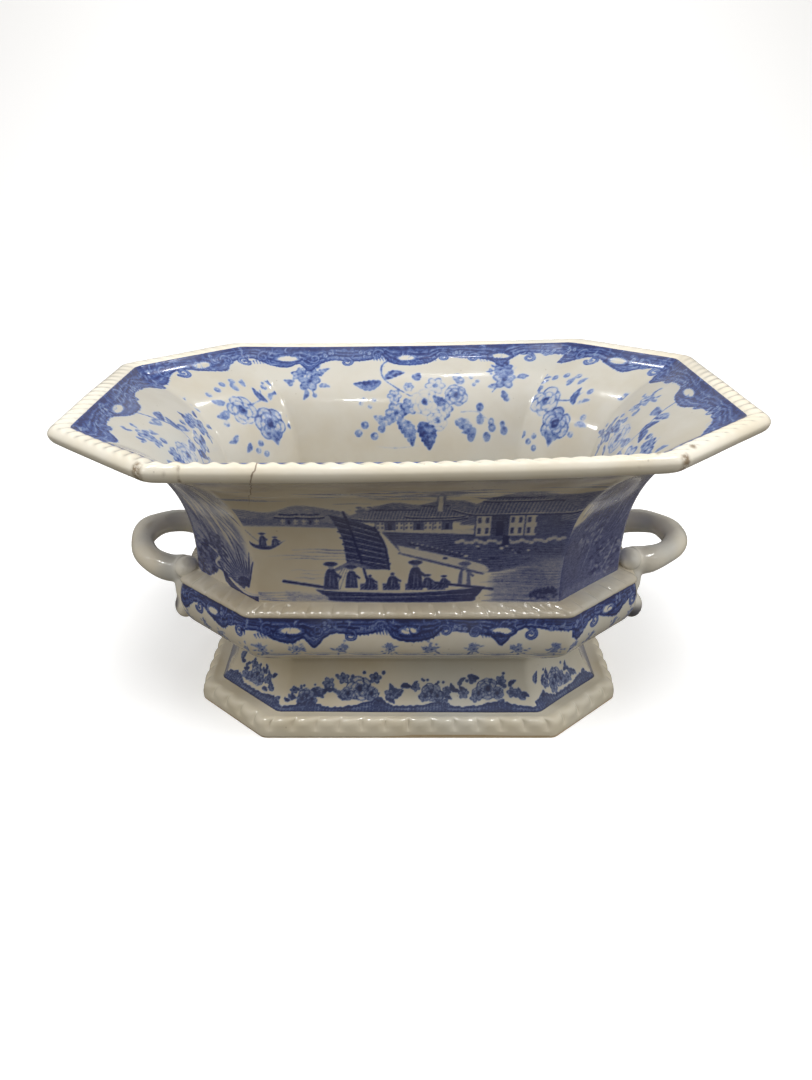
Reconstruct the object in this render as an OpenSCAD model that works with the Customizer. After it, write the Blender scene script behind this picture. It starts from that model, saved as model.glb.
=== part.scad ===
// Octagonal pressed-ware serving bowl: flared body on a pedestal foot, loop handle at each end.
// Origin at the centre of the base, +X along the handles, +Z up, millimetres.

/* [Rim] */
// Length of the rim over its flat ends
rim_l = 344; // [260:1:420]
// Width of the rim over its long sides
rim_w = 240; // [190:1:290]
// Length cut from each long side by a corner panel
cut_x = 58; // [46:1:68]
// Length cut from each end by a corner panel
cut_y = 56; // [44:1:64]
// Height of the moulded rim band
rim_h = 10; // [7:0.5:12]
// Width of the rim band, edge to border line
rim_t = 11; // [9:0.5:14]

/* [Heights] */
// Overall height, base to top of the rim
bowl_h = 171; // [150:1:190]
// Height of the top of the waist band
waist_top = 81; // [78:0.5:90]
// Height of the waist band itself
waist_h = 7.5; // [6:0.5:12]
// Height of the lower corner of the belly
belly_z = 54; // [52:0.5:58]
// Height of the joint between the body and the foot
neck_z = 40; // [36:0.5:42]
// Height of the moulded foot band
foot_h = 11; // [8:0.5:14]

/* [Plan shares of the rim] */
// Size of the wall just above the waist band
wall_low = 0.65; // [0.62:0.005:0.68]
// Size of the waist band at its fullest
waist_full = 0.698; // [0.69:0.002:0.74]
// Size of the belly at its fullest
belly_full = 0.708; // [0.69:0.002:0.72]
// Size of the neck above the foot
neck = 0.545; // [0.50:0.005:0.58]
// Size of the foot at the base
foot_size = 0.674; // [0.64:0.002:0.70]

/* [Walls] */
// Thickness of the ware
ware_t = 6; // [4.5:0.25:7]
// Depth of the unglazed standing ring
ring_h = 2; // [1:0.25:3]
// Thickness of the slip joint between body and foot
slip_t = 1.5; // [1:0.25:3]
// Rounding of the upright corners
corner_r = 4; // [3:0.5:14]

/* [Handles] */
// Thickness of a handle
handle_d = 13.5; // [10:0.5:15]
// How far a handle stands out from the end of the body
handle_reach = 29; // [26:1:42]
// Distance between the two arms of a handle
handle_span = 64; // [56:1:74]
// Rise of the handle from its arms to its tip
handle_rise = 6; // [0:0.5:10]
// Height of the handle arms
handle_z = 75; // [70:0.5:78]

/* [Hidden] */
waist_z = waist_top - waist_h;
rim_z = bowl_h - rim_h;
floor_top = belly_z - 5;
slip_top = neck_z + slip_t;
rim_in = 1 - 2 * rim_t / rim_l;
wall_in = 2 * ware_t / rim_l;
// plane in which the arms meet their terminals
root_x = max(waist_full, belly_full) * rim_l / 2 + 6;
corner_steps = 4;
curve_steps = 9;
tube_sides = 20;

function bez(p, n = curve_steps) =
    [for (i = [0:n]) let (t = i / n, u = 1 - t)
        u * u * u * p[0] + 3 * u * u * t * p[1] + 3 * u * t * t * p[2] + t * t * t * p[3]];

// Corners of the octagon, anticlockwise: the rim scaled by s, then drawn in by w
function corners(s, w = 0) =
    let (a = s * rim_l / 2, b = s * rim_w / 2, cx = s * cut_x, cy = s * cut_y,
         n = [cy, cx] / norm([cx, cy]), d = n * [a - cx, b] - w,
         x = (d - n[1] * (b - w)) / n[0], y = (d - n[0] * (a - w)) / n[1])
    [[-x, w - b], [x, w - b], [a - w, -y], [a - w, y], [x, b - w], [-x, b - w], [w - a, y], [w - a, -y]];

// The same octagon with rounded corners
function outline(s, w = 0) =
    let (c = corners(s, w), r = corner_r * s)
    [for (i = [0:7]) let (v = c[i], p = c[(i + 7) % 8] - v, q = c[(i + 1) % 8] - v)
        for (k = [0:corner_steps]) let (t = k / corner_steps)
            v + (1 - t) * (1 - t) * r * p / norm(p) + t * t * r * q / norm(q)];

function at(s, z) = [for (p = outline(s)) [p[0], p[1], z]];
function rings(profile) = [for (p = profile) at(p[0], p[1])];

// Skin through a list of point rings: closed round on itself, or capped at both ends
module skin(r, closed = true) {
    n = len(r[0]);
    m = len(r);
    sides = [for (i = [0:m - (closed ? 1 : 2)]) for (j = [0:n - 1])
        let (a = i * n + j, b = i * n + (j + 1) % n, k = ((i + 1) % m) * n)
        each [[a, k + j, k + (j + 1) % n], [a, k + (j + 1) % n, b]]];
    caps = closed ? [] : [[for (j = [0:n - 1]) j], [for (j = [n - 1:-1:0]) (m - 1) * n + j]];
    polyhedron([for (ring = r) each ring], concat(sides, caps), convexity = 8);
}

// A hollow tier of the ware: outer profile going up, inner profile coming down
module tier(outer, inner) {
    skin(rings(concat(outer, inner)));
}

// Outer profiles, [share of the rim, height]
foot_side = bez([[0.612, foot_h], [0.575, foot_h + 6], [neck, foot_h + 14], [neck, neck_z]]);
under_side = bez([[neck + 0.01, slip_top], [0.60, slip_top + 1], [0.665, floor_top - 3], [0.672, floor_top]]);
belly_side = bez([[0.672, floor_top], [0.71, belly_z + 2], [belly_full + 0.01, waist_z - 8], [0.697, waist_z]]);
waist_side = bez([[0.697, waist_z], [waist_full + 0.012, waist_z + 2],
                  [waist_full + 0.012, waist_top - 2], [0.663, waist_top]]);
wall_side = bez([[wall_low, waist_top], [wall_low, waist_top + 31], [0.668, rim_z - 15], [0.957, rim_z]]);

// Inner profiles of the bowl
wall_inside = bez([[0.885, rim_z], [0.71, rim_z - 12], [wall_low - wall_in, rim_z - 31],
                   [wall_low - wall_in - 0.01, waist_top]]);
waist_inside = bez([[wall_low - wall_in - 0.01, waist_top], [wall_low - wall_in - 0.01, waist_top - 3],
                    [wall_low - wall_in, waist_z + 3], [wall_low - wall_in, waist_z]], 3);
belly_inside = bez([[wall_low - wall_in, waist_z], [wall_low - wall_in, belly_z + 4],
                    [0.61, floor_top + 1], [0.54, floor_top]]);

module rim_band() {
    color("ivory") tier(
        concat(bez([[0.957, rim_z], [0.995, rim_z], [1, rim_z + 2], [1, rim_z + 4]], 4),
               bez([[0.9995, rim_z + 4.5], [0.998, bowl_h - 0.5], [0.988, bowl_h], [0.972, bowl_h]], 4)),
        concat(bez([[0.968, bowl_h], [0.95, bowl_h], [0.942, bowl_h - 1], [rim_in, bowl_h - 2.3]], 4),
               bez([[rim_in - 0.004, bowl_h - 2.8], [0.92, bowl_h - 5], [0.905, rim_z + 1.5], [0.885, rim_z]], 4)));
}

module bowl_wall() {
    color("lightsteelblue") tier(wall_side, wall_inside);
}

module waist_band() {
    color("ivory") tier(waist_side, waist_inside);
}

module belly() {
    color("royalblue") tier(belly_side, belly_inside);
}

// Floor of the bowl, slightly dished, closing the body below the belly
module bowl_floor() {
    dish = bez([[0.54, floor_top], [0.49, floor_top - 0.8], [0.4, floor_top - 1], [0.28, floor_top - 1]], 4);
    color("ivory") skin(rings(concat(under_side, dish)), closed = false);
}

// Bead of slip that joins the pressed body to the pressed foot
module slip_joint() {
    color("linen") translate([0, 0, neck_z]) linear_extrude(slip_t) difference() {
        polygon(outline(neck));
        polygon(outline(neck, ware_t));
    }
}

// Hollow pedestal with a concave flare
module foot() {
    inside = bez([[neck - wall_in * 1.1, neck_z], [neck - wall_in * 1.1, foot_h + 14],
                  [0.535, foot_h + 6], [0.562, foot_h]]);
    color("aliceblue") tier(foot_side, inside);
}

module foot_band() {
    side = bez([[foot_size, ring_h], [foot_size + 0.002, foot_h * 0.6],
                [foot_size - 0.004, foot_h - 0.2], [0.612, foot_h]]);
    inside = [[0.562, foot_h], [foot_size - wall_in * 1.2, ring_h]];
    color("ivory") tier(side, inside);
}

// Wiped, unglazed ring on which the bowl stands
module foot_ring() {
    color("wheat") linear_extrude(ring_h) difference() {
        polygon(outline(foot_size));
        polygon(outline(foot_size - wall_in * 1.2));
    }
}

// Centre line of the right handle; t runs from -1 (front arm) to 1 (back arm)
function loop_point(t) =
    let (q = 90 * t)
    [root_x - 0.5 + (handle_reach - 5.5) * cos(q), handle_span / 2 * sin(q), handle_z + handle_rise * cos(q)];

// A slightly knotted twig: the thickness swells and thins along the loop
function twig_r(t) = handle_d / 2 * (1 + 0.03 * cos(900 * t) + 0.04 * abs(t));

function tube_ring(t, n) =
    let (p = loop_point(t), d = loop_point(t + 0.01) - loop_point(t - 0.01), f = d / norm(d),
         side = cross(f, [0, 0, 1]) / norm(cross(f, [0, 0, 1])), up = cross(side, f))
    [for (k = [0:n - 1]) p + twig_r(t) * (cos(360 * k / n) * side + sin(360 * k / n) * up)];

// End of an arm where it is pressed flat against its terminal
function root_ring(t, n) =
    [for (k = [0:n - 1]) [root_x, sign(t) * (handle_span / 2 + twig_r(t) * cos(360 * k / n)),
                          handle_z + twig_r(t) * sin(360 * k / n)]];

module loop_handle() {
    n = tube_sides;
    skin(concat([root_ring(-1, n)], [for (t = [-0.92:0.08:0.921]) tube_ring(t, n)], [root_ring(1, n)]),
         closed = false);
}

module handle_right() {
    color("gainsboro") loop_handle();
}

module handle_left() {
    color("gainsboro") mirror([1, 0, 0]) loop_handle();
}

// Solid envelope of the body, used to seat the terminals against it
module body_envelope() {
    skin(rings(concat(belly_side, waist_side)), closed = false);
}

// Moulded terminal of one arm: a collar behind the arm and a lobed drop over the belly
module terminal() {
    $fn = 20;
    difference() {
        intersection() {
            union() {
                hull() {
                    translate([root_x - 9, handle_span / 2, handle_z]) scale([1, 1.15, 1.2]) sphere(handle_d * 0.56);
                    translate([root_x - 1, handle_span / 2, handle_z]) rotate([0, 90, 0])
                        cylinder(h = 1, d = handle_d * 1.18);
                }
                hull() {
                    translate([root_x - 7.5, handle_span / 2, handle_z - 3]) sphere(6.5);
                    translate([root_x - 7.5, handle_span / 2 + 6, belly_z + 5]) sphere(5.5);
                }
                translate([root_x - 7.5, handle_span / 2 + 7, belly_z + 3]) scale([1, 1.2, 1]) sphere(6);
                translate([root_x - 7.5, handle_span / 2 + 2.5, handle_z - 11]) scale([1, 1.5, 0.9]) sphere(6.2);
            }
            translate([root_x - 40, 0, 0]) cube([40, rim_w / 2, bowl_h]);
        }
        body_envelope();
    }
}

module right_back_terminal() {
    color("silver") terminal();
}

module right_front_terminal() {
    color("silver") mirror([0, 1, 0]) terminal();
}

module left_back_terminal() {
    color("silver") mirror([1, 0, 0]) terminal();
}

module left_front_terminal() {
    color("silver") mirror([1, 0, 0]) mirror([0, 1, 0]) terminal();
}

rim_band();
bowl_wall();
waist_band();
belly();
bowl_floor();
slip_joint();
foot();
foot_band();
foot_ring();
handle_left();
handle_right();
left_front_terminal();
left_back_terminal();
right_front_terminal();
right_back_terminal();
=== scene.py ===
"""Looks of an octagonal printed serving bowl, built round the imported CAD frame. Lengths are in mm."""
from math import cos, hypot, pi, radians, sin

import bpy
import numpy as np
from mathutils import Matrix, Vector


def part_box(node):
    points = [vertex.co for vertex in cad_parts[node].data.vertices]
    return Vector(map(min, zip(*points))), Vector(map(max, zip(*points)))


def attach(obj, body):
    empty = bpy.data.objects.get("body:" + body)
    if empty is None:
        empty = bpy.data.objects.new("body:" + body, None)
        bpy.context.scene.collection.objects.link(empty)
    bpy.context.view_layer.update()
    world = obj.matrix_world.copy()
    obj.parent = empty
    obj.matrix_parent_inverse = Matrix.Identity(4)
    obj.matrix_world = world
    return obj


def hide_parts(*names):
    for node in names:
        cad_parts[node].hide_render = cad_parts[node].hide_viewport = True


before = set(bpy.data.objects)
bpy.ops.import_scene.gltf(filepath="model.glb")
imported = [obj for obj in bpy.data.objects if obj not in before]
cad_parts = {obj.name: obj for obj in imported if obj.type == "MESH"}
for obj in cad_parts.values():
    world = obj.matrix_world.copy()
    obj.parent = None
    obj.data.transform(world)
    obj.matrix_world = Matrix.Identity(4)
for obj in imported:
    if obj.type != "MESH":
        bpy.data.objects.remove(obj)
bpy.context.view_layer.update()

MM = 0.001


def span(node):
    """Lowest and highest corner of a CAD node, in mm."""
    return [np.array(c, dtype=float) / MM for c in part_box(node)]


# ---------------------------------------------------------------- sizes, from the frame
RIM_A, RIM_B, RIM_TOP = span("rim_band")[1]
RIM_Z = span("rim_band")[0][2]
WAIST_Z, WAIST_TOP = span("waist_band")[0][2], span("waist_band")[1][2]
FLOOR_TOP = span("bowl_floor")[1][2]
SLIP_Z, SLIP_TOP = span("slip_joint")[0][2], span("slip_joint")[1][2]
FOOT_Z, FOOT_LOW = span("foot_band")[1][2], span("foot_band")[0][2]
BELLY_Z = FLOOR_TOP + 5
CUT_X, CUT_Y = 58.0, 56.0
CORNER_R = 4.0
WARE = 12.0 / (2 * RIM_A)
WALL_LOW, NECK, FOOT_SIZE = 0.65, 0.545, span("foot_band")[1][0] / RIM_A
BORDER = 1 - 11.0 / RIM_A
SAG_FRONT, SAG_BACK, LEAN, TWIST = 2.7, 1.3, 0.0112, 0.012
PRINT_STEP = 0.4

# lower edges of the printed borders, as (place along the panel, depth)
LONG_EDGE = ((-85, 6), (-74, 7), (-66, 12), (-58, 14), (-52, 11), (-47, 17), (-42, 11), (-36, 8), (-27, 9),
             (-18, 8), (-12, 5), (-7, 11), (1, 13), (11, 11), (17, 6), (24, 7), (33, 8), (41, 10), (46, 15),
             (51, 9), (58, 5), (70, 6), (85, 7))
END_EDGE = ((-85, 8), (-46, 10), (-37, 15), (-29, 9), (-17, 7), (-8, 12), (4, 13), (12, 9), (22, 7), (32, 9),
            (40, 15), (48, 9), (85, 8))
CORNER_EDGE = ((-85, 9), (-34, 9), (-24, 13), (-16, 7), (-8, 6), (2, 10), (10, 12), (16, 8), (24, 6),
               (32, 8), (85, 9))
FOOT_EDGE = ((-84, 3.5), (-66, 3), (-55, 5.5), (-50, 5), (-43, 2.6), (-32, 3.2), (-20, 6), (-14, 6.4),
             (-8, 3.4), (6, 3.5), (16, 5.6), (24, 3), (36, 3.4), (48, 6), (56, 4), (66, 3), (84, 3.5))


# ---------------------------------------------------------------- shape helpers
def bez(p, n):
    """A cubic curve through n + 1 points, from its four control points."""
    t = np.linspace(0, 1, n + 1)[:, None]
    p = np.array(p, dtype=float)
    return (1 - t) ** 3 * p[0] + 3 * (1 - t) ** 2 * t * p[1] + 3 * (1 - t) * t ** 2 * p[2] + t ** 3 * p[3]


def chain(*parts):
    """Profile pieces in a row, without the doubled joints."""
    out = [parts[0]]
    for part in parts[1:]:
        out.append(part[1:] if np.allclose(part[0], out[-1][-1], atol=1e-6) else part)
    return np.concatenate(out)


def even(profile, step):
    """The same profile with points evenly about step mm apart."""
    run = run_of(profile)
    n = max(2, int(round(run[-1] / step)))
    at = np.linspace(0, run[-1], n + 1)
    return np.stack([np.interp(at, run, profile[:, 0]), np.interp(at, run, profile[:, 1])], 1)


def run_of(profile):
    """Length along a profile of (share of the rim, height)."""
    mean = (RIM_A + RIM_B) / 2
    d = np.hypot(np.diff(profile[:, 0]) * mean, np.diff(profile[:, 1]))
    return np.concatenate([[0], np.cumsum(d)])


def ring(n):
    """n points evenly round the rim octagon from the middle of the front: where each is, its panel, its place
    along that panel and its distance along the rim; and the whole way round."""
    a, b = RIM_A, RIM_B
    c = [(CUT_X - a, -b), (a - CUT_X, -b), (a, CUT_Y - b), (a, b - CUT_Y),
         (a - CUT_X, b), (CUT_X - a, b), (-a, b - CUT_Y), (-a, CUT_Y - b)]
    c = np.array(c, dtype=float)
    pts, panel = [np.array([0, -b])], [0]
    for i in range(8):
        v = c[(i + 1) % 8]
        p, q = c[i] - v, c[(i + 2) % 8] - v
        for t in np.linspace(0, 1, 13):
            pts.append(v + CORNER_R * ((1 - t) ** 2 * p / np.linalg.norm(p) + t * t * q / np.linalg.norm(q)))
            panel.append(i if t < 0.5 else (i + 1) % 8)
    pts.append(np.array([0, -b]))
    pts = np.array(pts)
    run = np.concatenate([[0], np.cumsum(np.linalg.norm(np.diff(pts, axis=0), axis=1))])
    at = np.linspace(0, run[-1], n, endpoint=False)
    xy = np.stack([np.interp(at, run, pts[:, k]) for k in (0, 1)], 1)
    after = np.roll(c, -1, 0)
    mid = (c + after) / 2
    along = (after - c) / np.linalg.norm(after - c, axis=1, keepdims=True)
    out = [np.array([d[1], -d[0]]) for d in along]
    far = np.stack([(xy - m) @ o for m, o in zip(mid, out)], 1)
    k = np.argmax(far, axis=1)
    u = np.array([(p - mid[i]) @ along[i] for p, i in zip(xy, k)])
    return xy, k, u, at, run[-1]


def settle(p):
    """The kiln's slump: the rim leans left and is a little twisted, its long sides sag, a corner droops."""
    x, y, z = p[..., 0], p[..., 1], p[..., 2]
    up = np.clip((z - WAIST_TOP) / (RIM_Z - WAIST_TOP), 0, 1)
    low = np.clip((z - WAIST_Z) / (WAIST_TOP - WAIST_Z), 0, 1)
    side = np.clip(np.abs(y) / RIM_B * 1.6 - 0.5, 0, 1) * np.clip(1 - (x / (0.68 * RIM_A)) ** 2, 0, 1)
    corner = np.exp(-((x + 140) ** 2 + (y + 95) ** 2) / 60 ** 2)
    p = p.copy()
    p[..., 0] = (x - TWIST * up * y) * (1 - 0.004 * up) - 0.3 * up
    p[..., 1] = (y + TWIST * up * x) * (1 - 0.011 * up)
    p[..., 2] -= up * (LEAN * (RIM_A - x) + 1.2 * corner)
    p[..., 2] -= side * np.where(y < 0, SAG_FRONT, SAG_BACK) * (0.4 * low + 0.6 * up)
    return p


def wobble(p, seed, size=0.25):
    """Slight unevenness of hand-finished ware, in mm."""
    x, y, z = p[..., 0], p[..., 1], p[..., 2]
    return size * (np.sin(x / 31 + seed) * np.sin(y / 27 + 2 * seed) + 0.6 * np.sin(x / 13 + z / 17 + seed)
                   * np.sin(y / 11 - z / 19 + seed) + 0.4 * np.sin(z / 7 + x / 23 + seed))


def surface(profile, xy):
    """A profile of (share of the rim, height) carried round the octagon."""
    return np.stack([profile[:, None, 0] * xy[None, :, 0], profile[:, None, 0] * xy[None, :, 1],
                     np.repeat(profile[:, None, 1], len(xy), 1)], 2)


def normals(p):
    """Outward normals of a grid of points: rows go up the outside, columns go anticlockwise."""
    du = np.roll(p, -1, 1) - np.roll(p, 1, 1)
    dv = np.gradient(p, axis=0)
    n = np.cross(du, dv)
    return n / np.maximum(np.linalg.norm(n, axis=2, keepdims=True), 1e-9)


def add_object(name, data):
    obj = bpy.data.objects.new(name, data)
    bpy.context.scene.collection.objects.link(obj)
    return obj


def put_field(mesh, name, values):
    field = mesh.attributes.new(name, "FLOAT", "POINT")
    field.data.foreach_set("value", np.ascontiguousarray(values, dtype=np.float32).reshape(-1))


def grid_mesh(name, p, material, closed=True, **fields):
    """One closed piece from a grid of points in mm, with a value of each field at every point."""
    m, n = p.shape[:2]
    rows = np.arange(m if closed else m - 1)
    i, j = np.meshgrid(rows, np.arange(n), indexing="ij")
    a, b = i * n + j, i * n + (j + 1) % n
    c, d = ((i + 1) % m) * n + (j + 1) % n, ((i + 1) % m) * n + j
    quads = np.stack([a, b, c, d], 2).reshape(-1, 4)
    verts = settle(p).reshape(-1, 3) * MM
    mesh = bpy.data.meshes.new(name)
    faces = quads.tolist()
    if not closed:
        faces += [list(range(n))[::-1], list(range((m - 1) * n, m * n))]
    mesh.from_pydata(verts.tolist(), [], faces)
    mesh.update()
    for key, values in fields.items():
        put_field(mesh, key, values)
    mesh.shade_smooth()
    mesh.materials.append(material)
    return add_object(name, mesh)


def claim(obj, slot, *nodes):
    """Puts a finished piece under the root empty and hides the CAD nodes that it stands for."""
    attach(obj, "root")
    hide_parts(*nodes)
    return obj


# ---------------------------------------------------------------- the print: a canvas in mm
class Canvas:
    """Ink density from 0 (bare glaze) to 1 (full cobalt), painted in mm, y upwards."""

    def __init__(self, left, right, bottom, top, seed=0):
        self.x = np.arange(left, right + PRINT_STEP, PRINT_STEP)
        self.y = np.arange(bottom, top + PRINT_STEP, PRINT_STEP)
        self.ink = np.zeros((len(self.y), len(self.x)))
        self.rng = np.random.default_rng(seed)

    def window(self, pts, pad):
        lo, hi = pts.min(0) - pad, pts.max(0) + pad
        i = slice(*np.searchsorted(self.y, (lo[1], hi[1])))
        j = slice(*np.searchsorted(self.x, (lo[0], hi[0])))
        x, y = np.meshgrid(self.x[j], self.y[i])
        return (i, j), x, y

    def lay(self, where, cover, tone):
        self.ink[where] += cover * (tone - self.ink[where])

    def to_segment(self, x, y, a, b):
        """How far along a segment each point lies, 0 to 1, and its distance from it."""
        ex, ey = b - a
        t = np.clip(((x - a[0]) * ex + (y - a[1]) * ey) / (ex * ex + ey * ey + 1e-12), 0, 1)
        return t, np.hypot(x - a[0] - t * ex, y - a[1] - t * ey)

    def cover(self, pts, x, y, soft):
        """How far each point is inside a closed outline, 0 to 1."""
        near = np.full(x.shape, 1e9)
        inside = np.zeros(x.shape, bool)
        for a, b in zip(pts, np.roll(pts, -1, 0)):
            near = np.minimum(near, self.to_segment(x, y, a, b)[1])
            if a[1] != b[1]:
                cross = (a[1] > y) != (b[1] > y)
                inside ^= cross & (x < (b[0] - a[0]) * (y - a[1]) / (b[1] - a[1]) + a[0])
        return np.clip(0.5 + np.where(inside, near, -near) / soft, 0, 1)

    def fill(self, pts, tone, soft=0.5):
        pts = np.asarray(pts, dtype=float)
        where, x, y = self.window(pts, soft)
        if x.size:
            self.lay(where, self.cover(pts, x, y, soft), tone)

    def hatch(self, pts, tone, angle=0.0, pitch=1.6, duty=0.5, soft=1.5, wave=0.0):
        """Engraved parallel lines inside an outline."""
        pts = np.asarray(pts, dtype=float)
        where, x, y = self.window(pts, soft)
        if not x.size:
            return
        a = radians(angle)
        across = -x * sin(a) + y * cos(a) + wave * np.sin((x * cos(a) + y * sin(a)) / 5.3)
        line = np.abs((across / pitch) % 1 - 0.5) * 2
        strokes = np.clip((duty - line) * pitch / 0.9 + 0.5, 0, 1)
        self.lay(where, self.cover(pts, x, y, soft) * strokes, tone)

    def line(self, pts, width, tone, taper=0.0, soft=0.45):
        """A stroke; taper 1 thins it to nothing at both ends, taper -1 only at its far end."""
        pts = np.asarray(pts, dtype=float)
        where, x, y = self.window(pts, width)
        if not x.size:
            return
        best = np.full(x.shape, -1e9)
        n = len(pts) - 1
        for k in range(n):
            t, d = self.to_segment(x, y, pts[k], pts[k + 1])
            s = (k + t) / n
            half = width / 2 * (1 - taper * np.abs(2 * s - 1) if taper >= 0 else 1 + taper * s)
            best = np.maximum(best, half - d)
        self.lay(where, np.clip(0.5 + best / soft, 0, 1), tone)

    def disc(self, x0, y0, r, tone, squash=1.0, angle=0.0, soft=0.5):
        """A round or oval dab."""
        wide = r * max(1, squash)
        where, x, y = self.window(np.array([[x0 - wide, y0 - wide], [x0 + wide, y0 + wide]]), soft)
        if not x.size:
            return
        a = radians(angle)
        u, v = (x - x0) * cos(a) + (y - y0) * sin(a), -(x - x0) * sin(a) + (y - y0) * cos(a)
        d = np.hypot(u, v / squash)
        self.lay(where, np.clip(0.5 + (r - d) * min(1, squash) / soft, 0, 1), tone)

    def soften(self, passes):
        """Let the wet ink bleed a little."""
        for _ in range(passes):
            p = np.pad(self.ink, 1, mode="edge")
            self.ink = (4 * self.ink + p[:-2, 1:-1] + p[2:, 1:-1] + p[1:-1, :-2] + p[1:-1, 2:]) / 8

    def mottle(self, amount):
        """Uneven inking, in patches a millimetre or two wide."""
        sharp, self.ink = self.ink, self.rng.random(self.ink.shape)
        self.soften(10)
        field = (self.ink - self.ink.mean()) / self.ink.std()
        self.ink = np.clip(sharp * (1 + amount * field), 0, 1)

    def sample(self, u, v):
        """Density at points on the surface."""
        fx = np.clip((u - self.x[0]) / PRINT_STEP, 0, len(self.x) - 1.001)
        fy = np.clip((v - self.y[0]) / PRINT_STEP, 0, len(self.y) - 1.001)
        i, j = fy.astype(int), fx.astype(int)
        a, b = fy - i, fx - j
        near = (1 - b) * self.ink[i, j] + b * self.ink[i, j + 1]
        far = (1 - b) * self.ink[i + 1, j] + b * self.ink[i + 1, j + 1]
        return (1 - a) * near + a * far


def smooth(*pts, n=6):
    """A smooth line through a few points."""
    p = np.array(pts, dtype=float)
    p = np.vstack([2 * p[0] - p[1], p, 2 * p[-1] - p[-2]])
    out = []
    for k in range(1, len(p) - 2):
        for t in np.linspace(0, 1, n, endpoint=False):
            out.append(0.5 * (2 * p[k] + (p[k + 1] - p[k - 1]) * t
                              + (2 * p[k - 1] - 5 * p[k] + 4 * p[k + 1] - p[k + 2]) * t ** 2
                              + (3 * p[k] - p[k - 1] - 3 * p[k + 1] + p[k + 2]) * t ** 3))
    out.append(p[-2])
    return np.array(out)


def turned(pts, x, y, angle, size=1.0):
    """Points turned about the origin, scaled and moved to (x, y)."""
    a = radians(angle)
    u, v = (np.asarray(pts, dtype=float) * size).T
    return np.stack([x + u * cos(a) - v * sin(a), y + u * sin(a) + v * cos(a)], 1)


def polar(x, y, r, angle):
    """The point at distance r from (x, y), in degrees."""
    return x + r * cos(radians(angle)), y + r * sin(radians(angle))


def box(x0, y0, x1, y1):
    return [(x0, y0), (x1, y0), (x1, y1), (x0, y1)]


def oval(x, y, rx, ry, n, jag=0.0):
    """n points round an oval, zigzagging in and out by a share jag."""
    t = np.linspace(0, 2 * pi, n, endpoint=False)
    k = 1 + jag * np.where(np.arange(n) % 2, 1, -1)
    return np.stack([x + rx * np.cos(t) * k, y + ry * np.sin(t) * k], 1)


def rays(c, x0, x1, y0, y1, count, angle, tones, wide=2.6):
    """Slanting strokes of light and shade on a rock face."""
    for _ in range(count):
        x, y = c.rng.uniform(x0, x1), c.rng.uniform(y0, y1)
        length = c.rng.uniform(8, 24)
        a = radians(angle + c.rng.uniform(-14, 14))
        mid = (x + length / 2 * cos(a) + 1.2, y + length / 2 * sin(a))
        stroke = smooth((x, y), mid, (x + length * cos(a), y + length * sin(a)))
        c.line(stroke, c.rng.uniform(0.5, wide), c.rng.choice(tones), taper=1, soft=1.1)


def drift(c, x0, x1, y0, y1, count, tone, wide=2.4):
    """Soft broad horizontal washes."""
    for _ in range(count):
        x, y = c.rng.uniform(x0, x1), c.rng.uniform(y0, y1)
        length = c.rng.uniform(12, 34)
        c.line(smooth((x, y), (x + length / 2, y + c.rng.uniform(-0.6, 0.6)), (x + length, y)),
               wide * c.rng.uniform(0.6, 1.4), tone * c.rng.uniform(0.7, 1.2), taper=1, soft=2.2)


def garland(c, nodes, tone, light=0.4, dark=0.95):
    """A border hung from y = 0; its lower edge passes through (x, depth) nodes and bands follow it."""
    edge = smooth(*[(x, -d) for x, d in nodes], n=9)
    edge[:, 1] += 0.22 * np.sin(edge[:, 0] * 1.9)
    closing = [(nodes[-1][0], 2.0), (nodes[0][0], 2.0)]
    c.fill(np.vstack([edge, closing]), tone)
    wave = 0.35 * np.sin(edge[:, 0] / 2.7) + 0.2 * np.sin(edge[:, 0] / 1.3)
    for share, width, shade in ((0.10, 2.2, dark), (0.30, 0.7, light), (0.40, 1.0, dark), (0.52, 0.6, light),
                                (0.62, 1.1, dark), (0.76, 0.9, light), (0.88, 0.7, light + 0.15)):
        bent = np.stack([edge[:, 0], edge[:, 1] * share + wave * (1 - share)], 1)
        c.line(bent, width * min(1, abs(edge[:, 1]).mean() / 10), shade)
    c.line(edge, 0.9, dark)
    ticks = np.arange(nodes[0][0], nodes[-1][0], 1.9)
    low = np.interp(ticks, edge[:, 0], edge[:, 1])
    for x, y in zip(ticks, low):
        if np.sin(x / 5.1) > 0.25:
            c.line([(x, y + 0.2), (x + 0.5, y - 1.1)], 0.6, dark, taper=-0.7)


def x_scaled(pts, x, y, size):
    return (pts - [x, y]) * size + [x, y]


def reserve(c, x, y, w, h, band, tone):
    """A white jagged oval held in a ring of band work."""
    ring_pts = oval(x, y, w / 2 + band, h / 2 + band, 48)
    c.fill(ring_pts, 0.97)
    c.fill(x_scaled(ring_pts, x, y, 0.92), tone)
    for a, b in zip(ring_pts[::2], x_scaled(ring_pts, x, y, 0.8)[::2]):
        c.line([a, b], 0.5, 0.9)
    c.fill(oval(x, y, 1.06 * w / 2, 1.1 * h / 2, 48, 0.16), 0.95)
    c.fill(oval(x, y, 0.94 * w / 2, 0.9 * h / 2, 48, 0.16), 0.0)


def comb(c, x, y, length, count, tone, angle=0.0, tooth=2.6, lean=70):
    """A row of short tapering strokes."""
    for k in range(count):
        px, py = turned([(length * k / count, 0.9 * sin(pi * k / count))], x, y, angle)[0]
        size = tooth * (0.7 + 0.6 * sin(pi * (k + 1) / (count + 1)))
        c.line(turned([(0, 0), (size, 0)], px, py, angle - lean), 0.75, tone, taper=-0.8)


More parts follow.
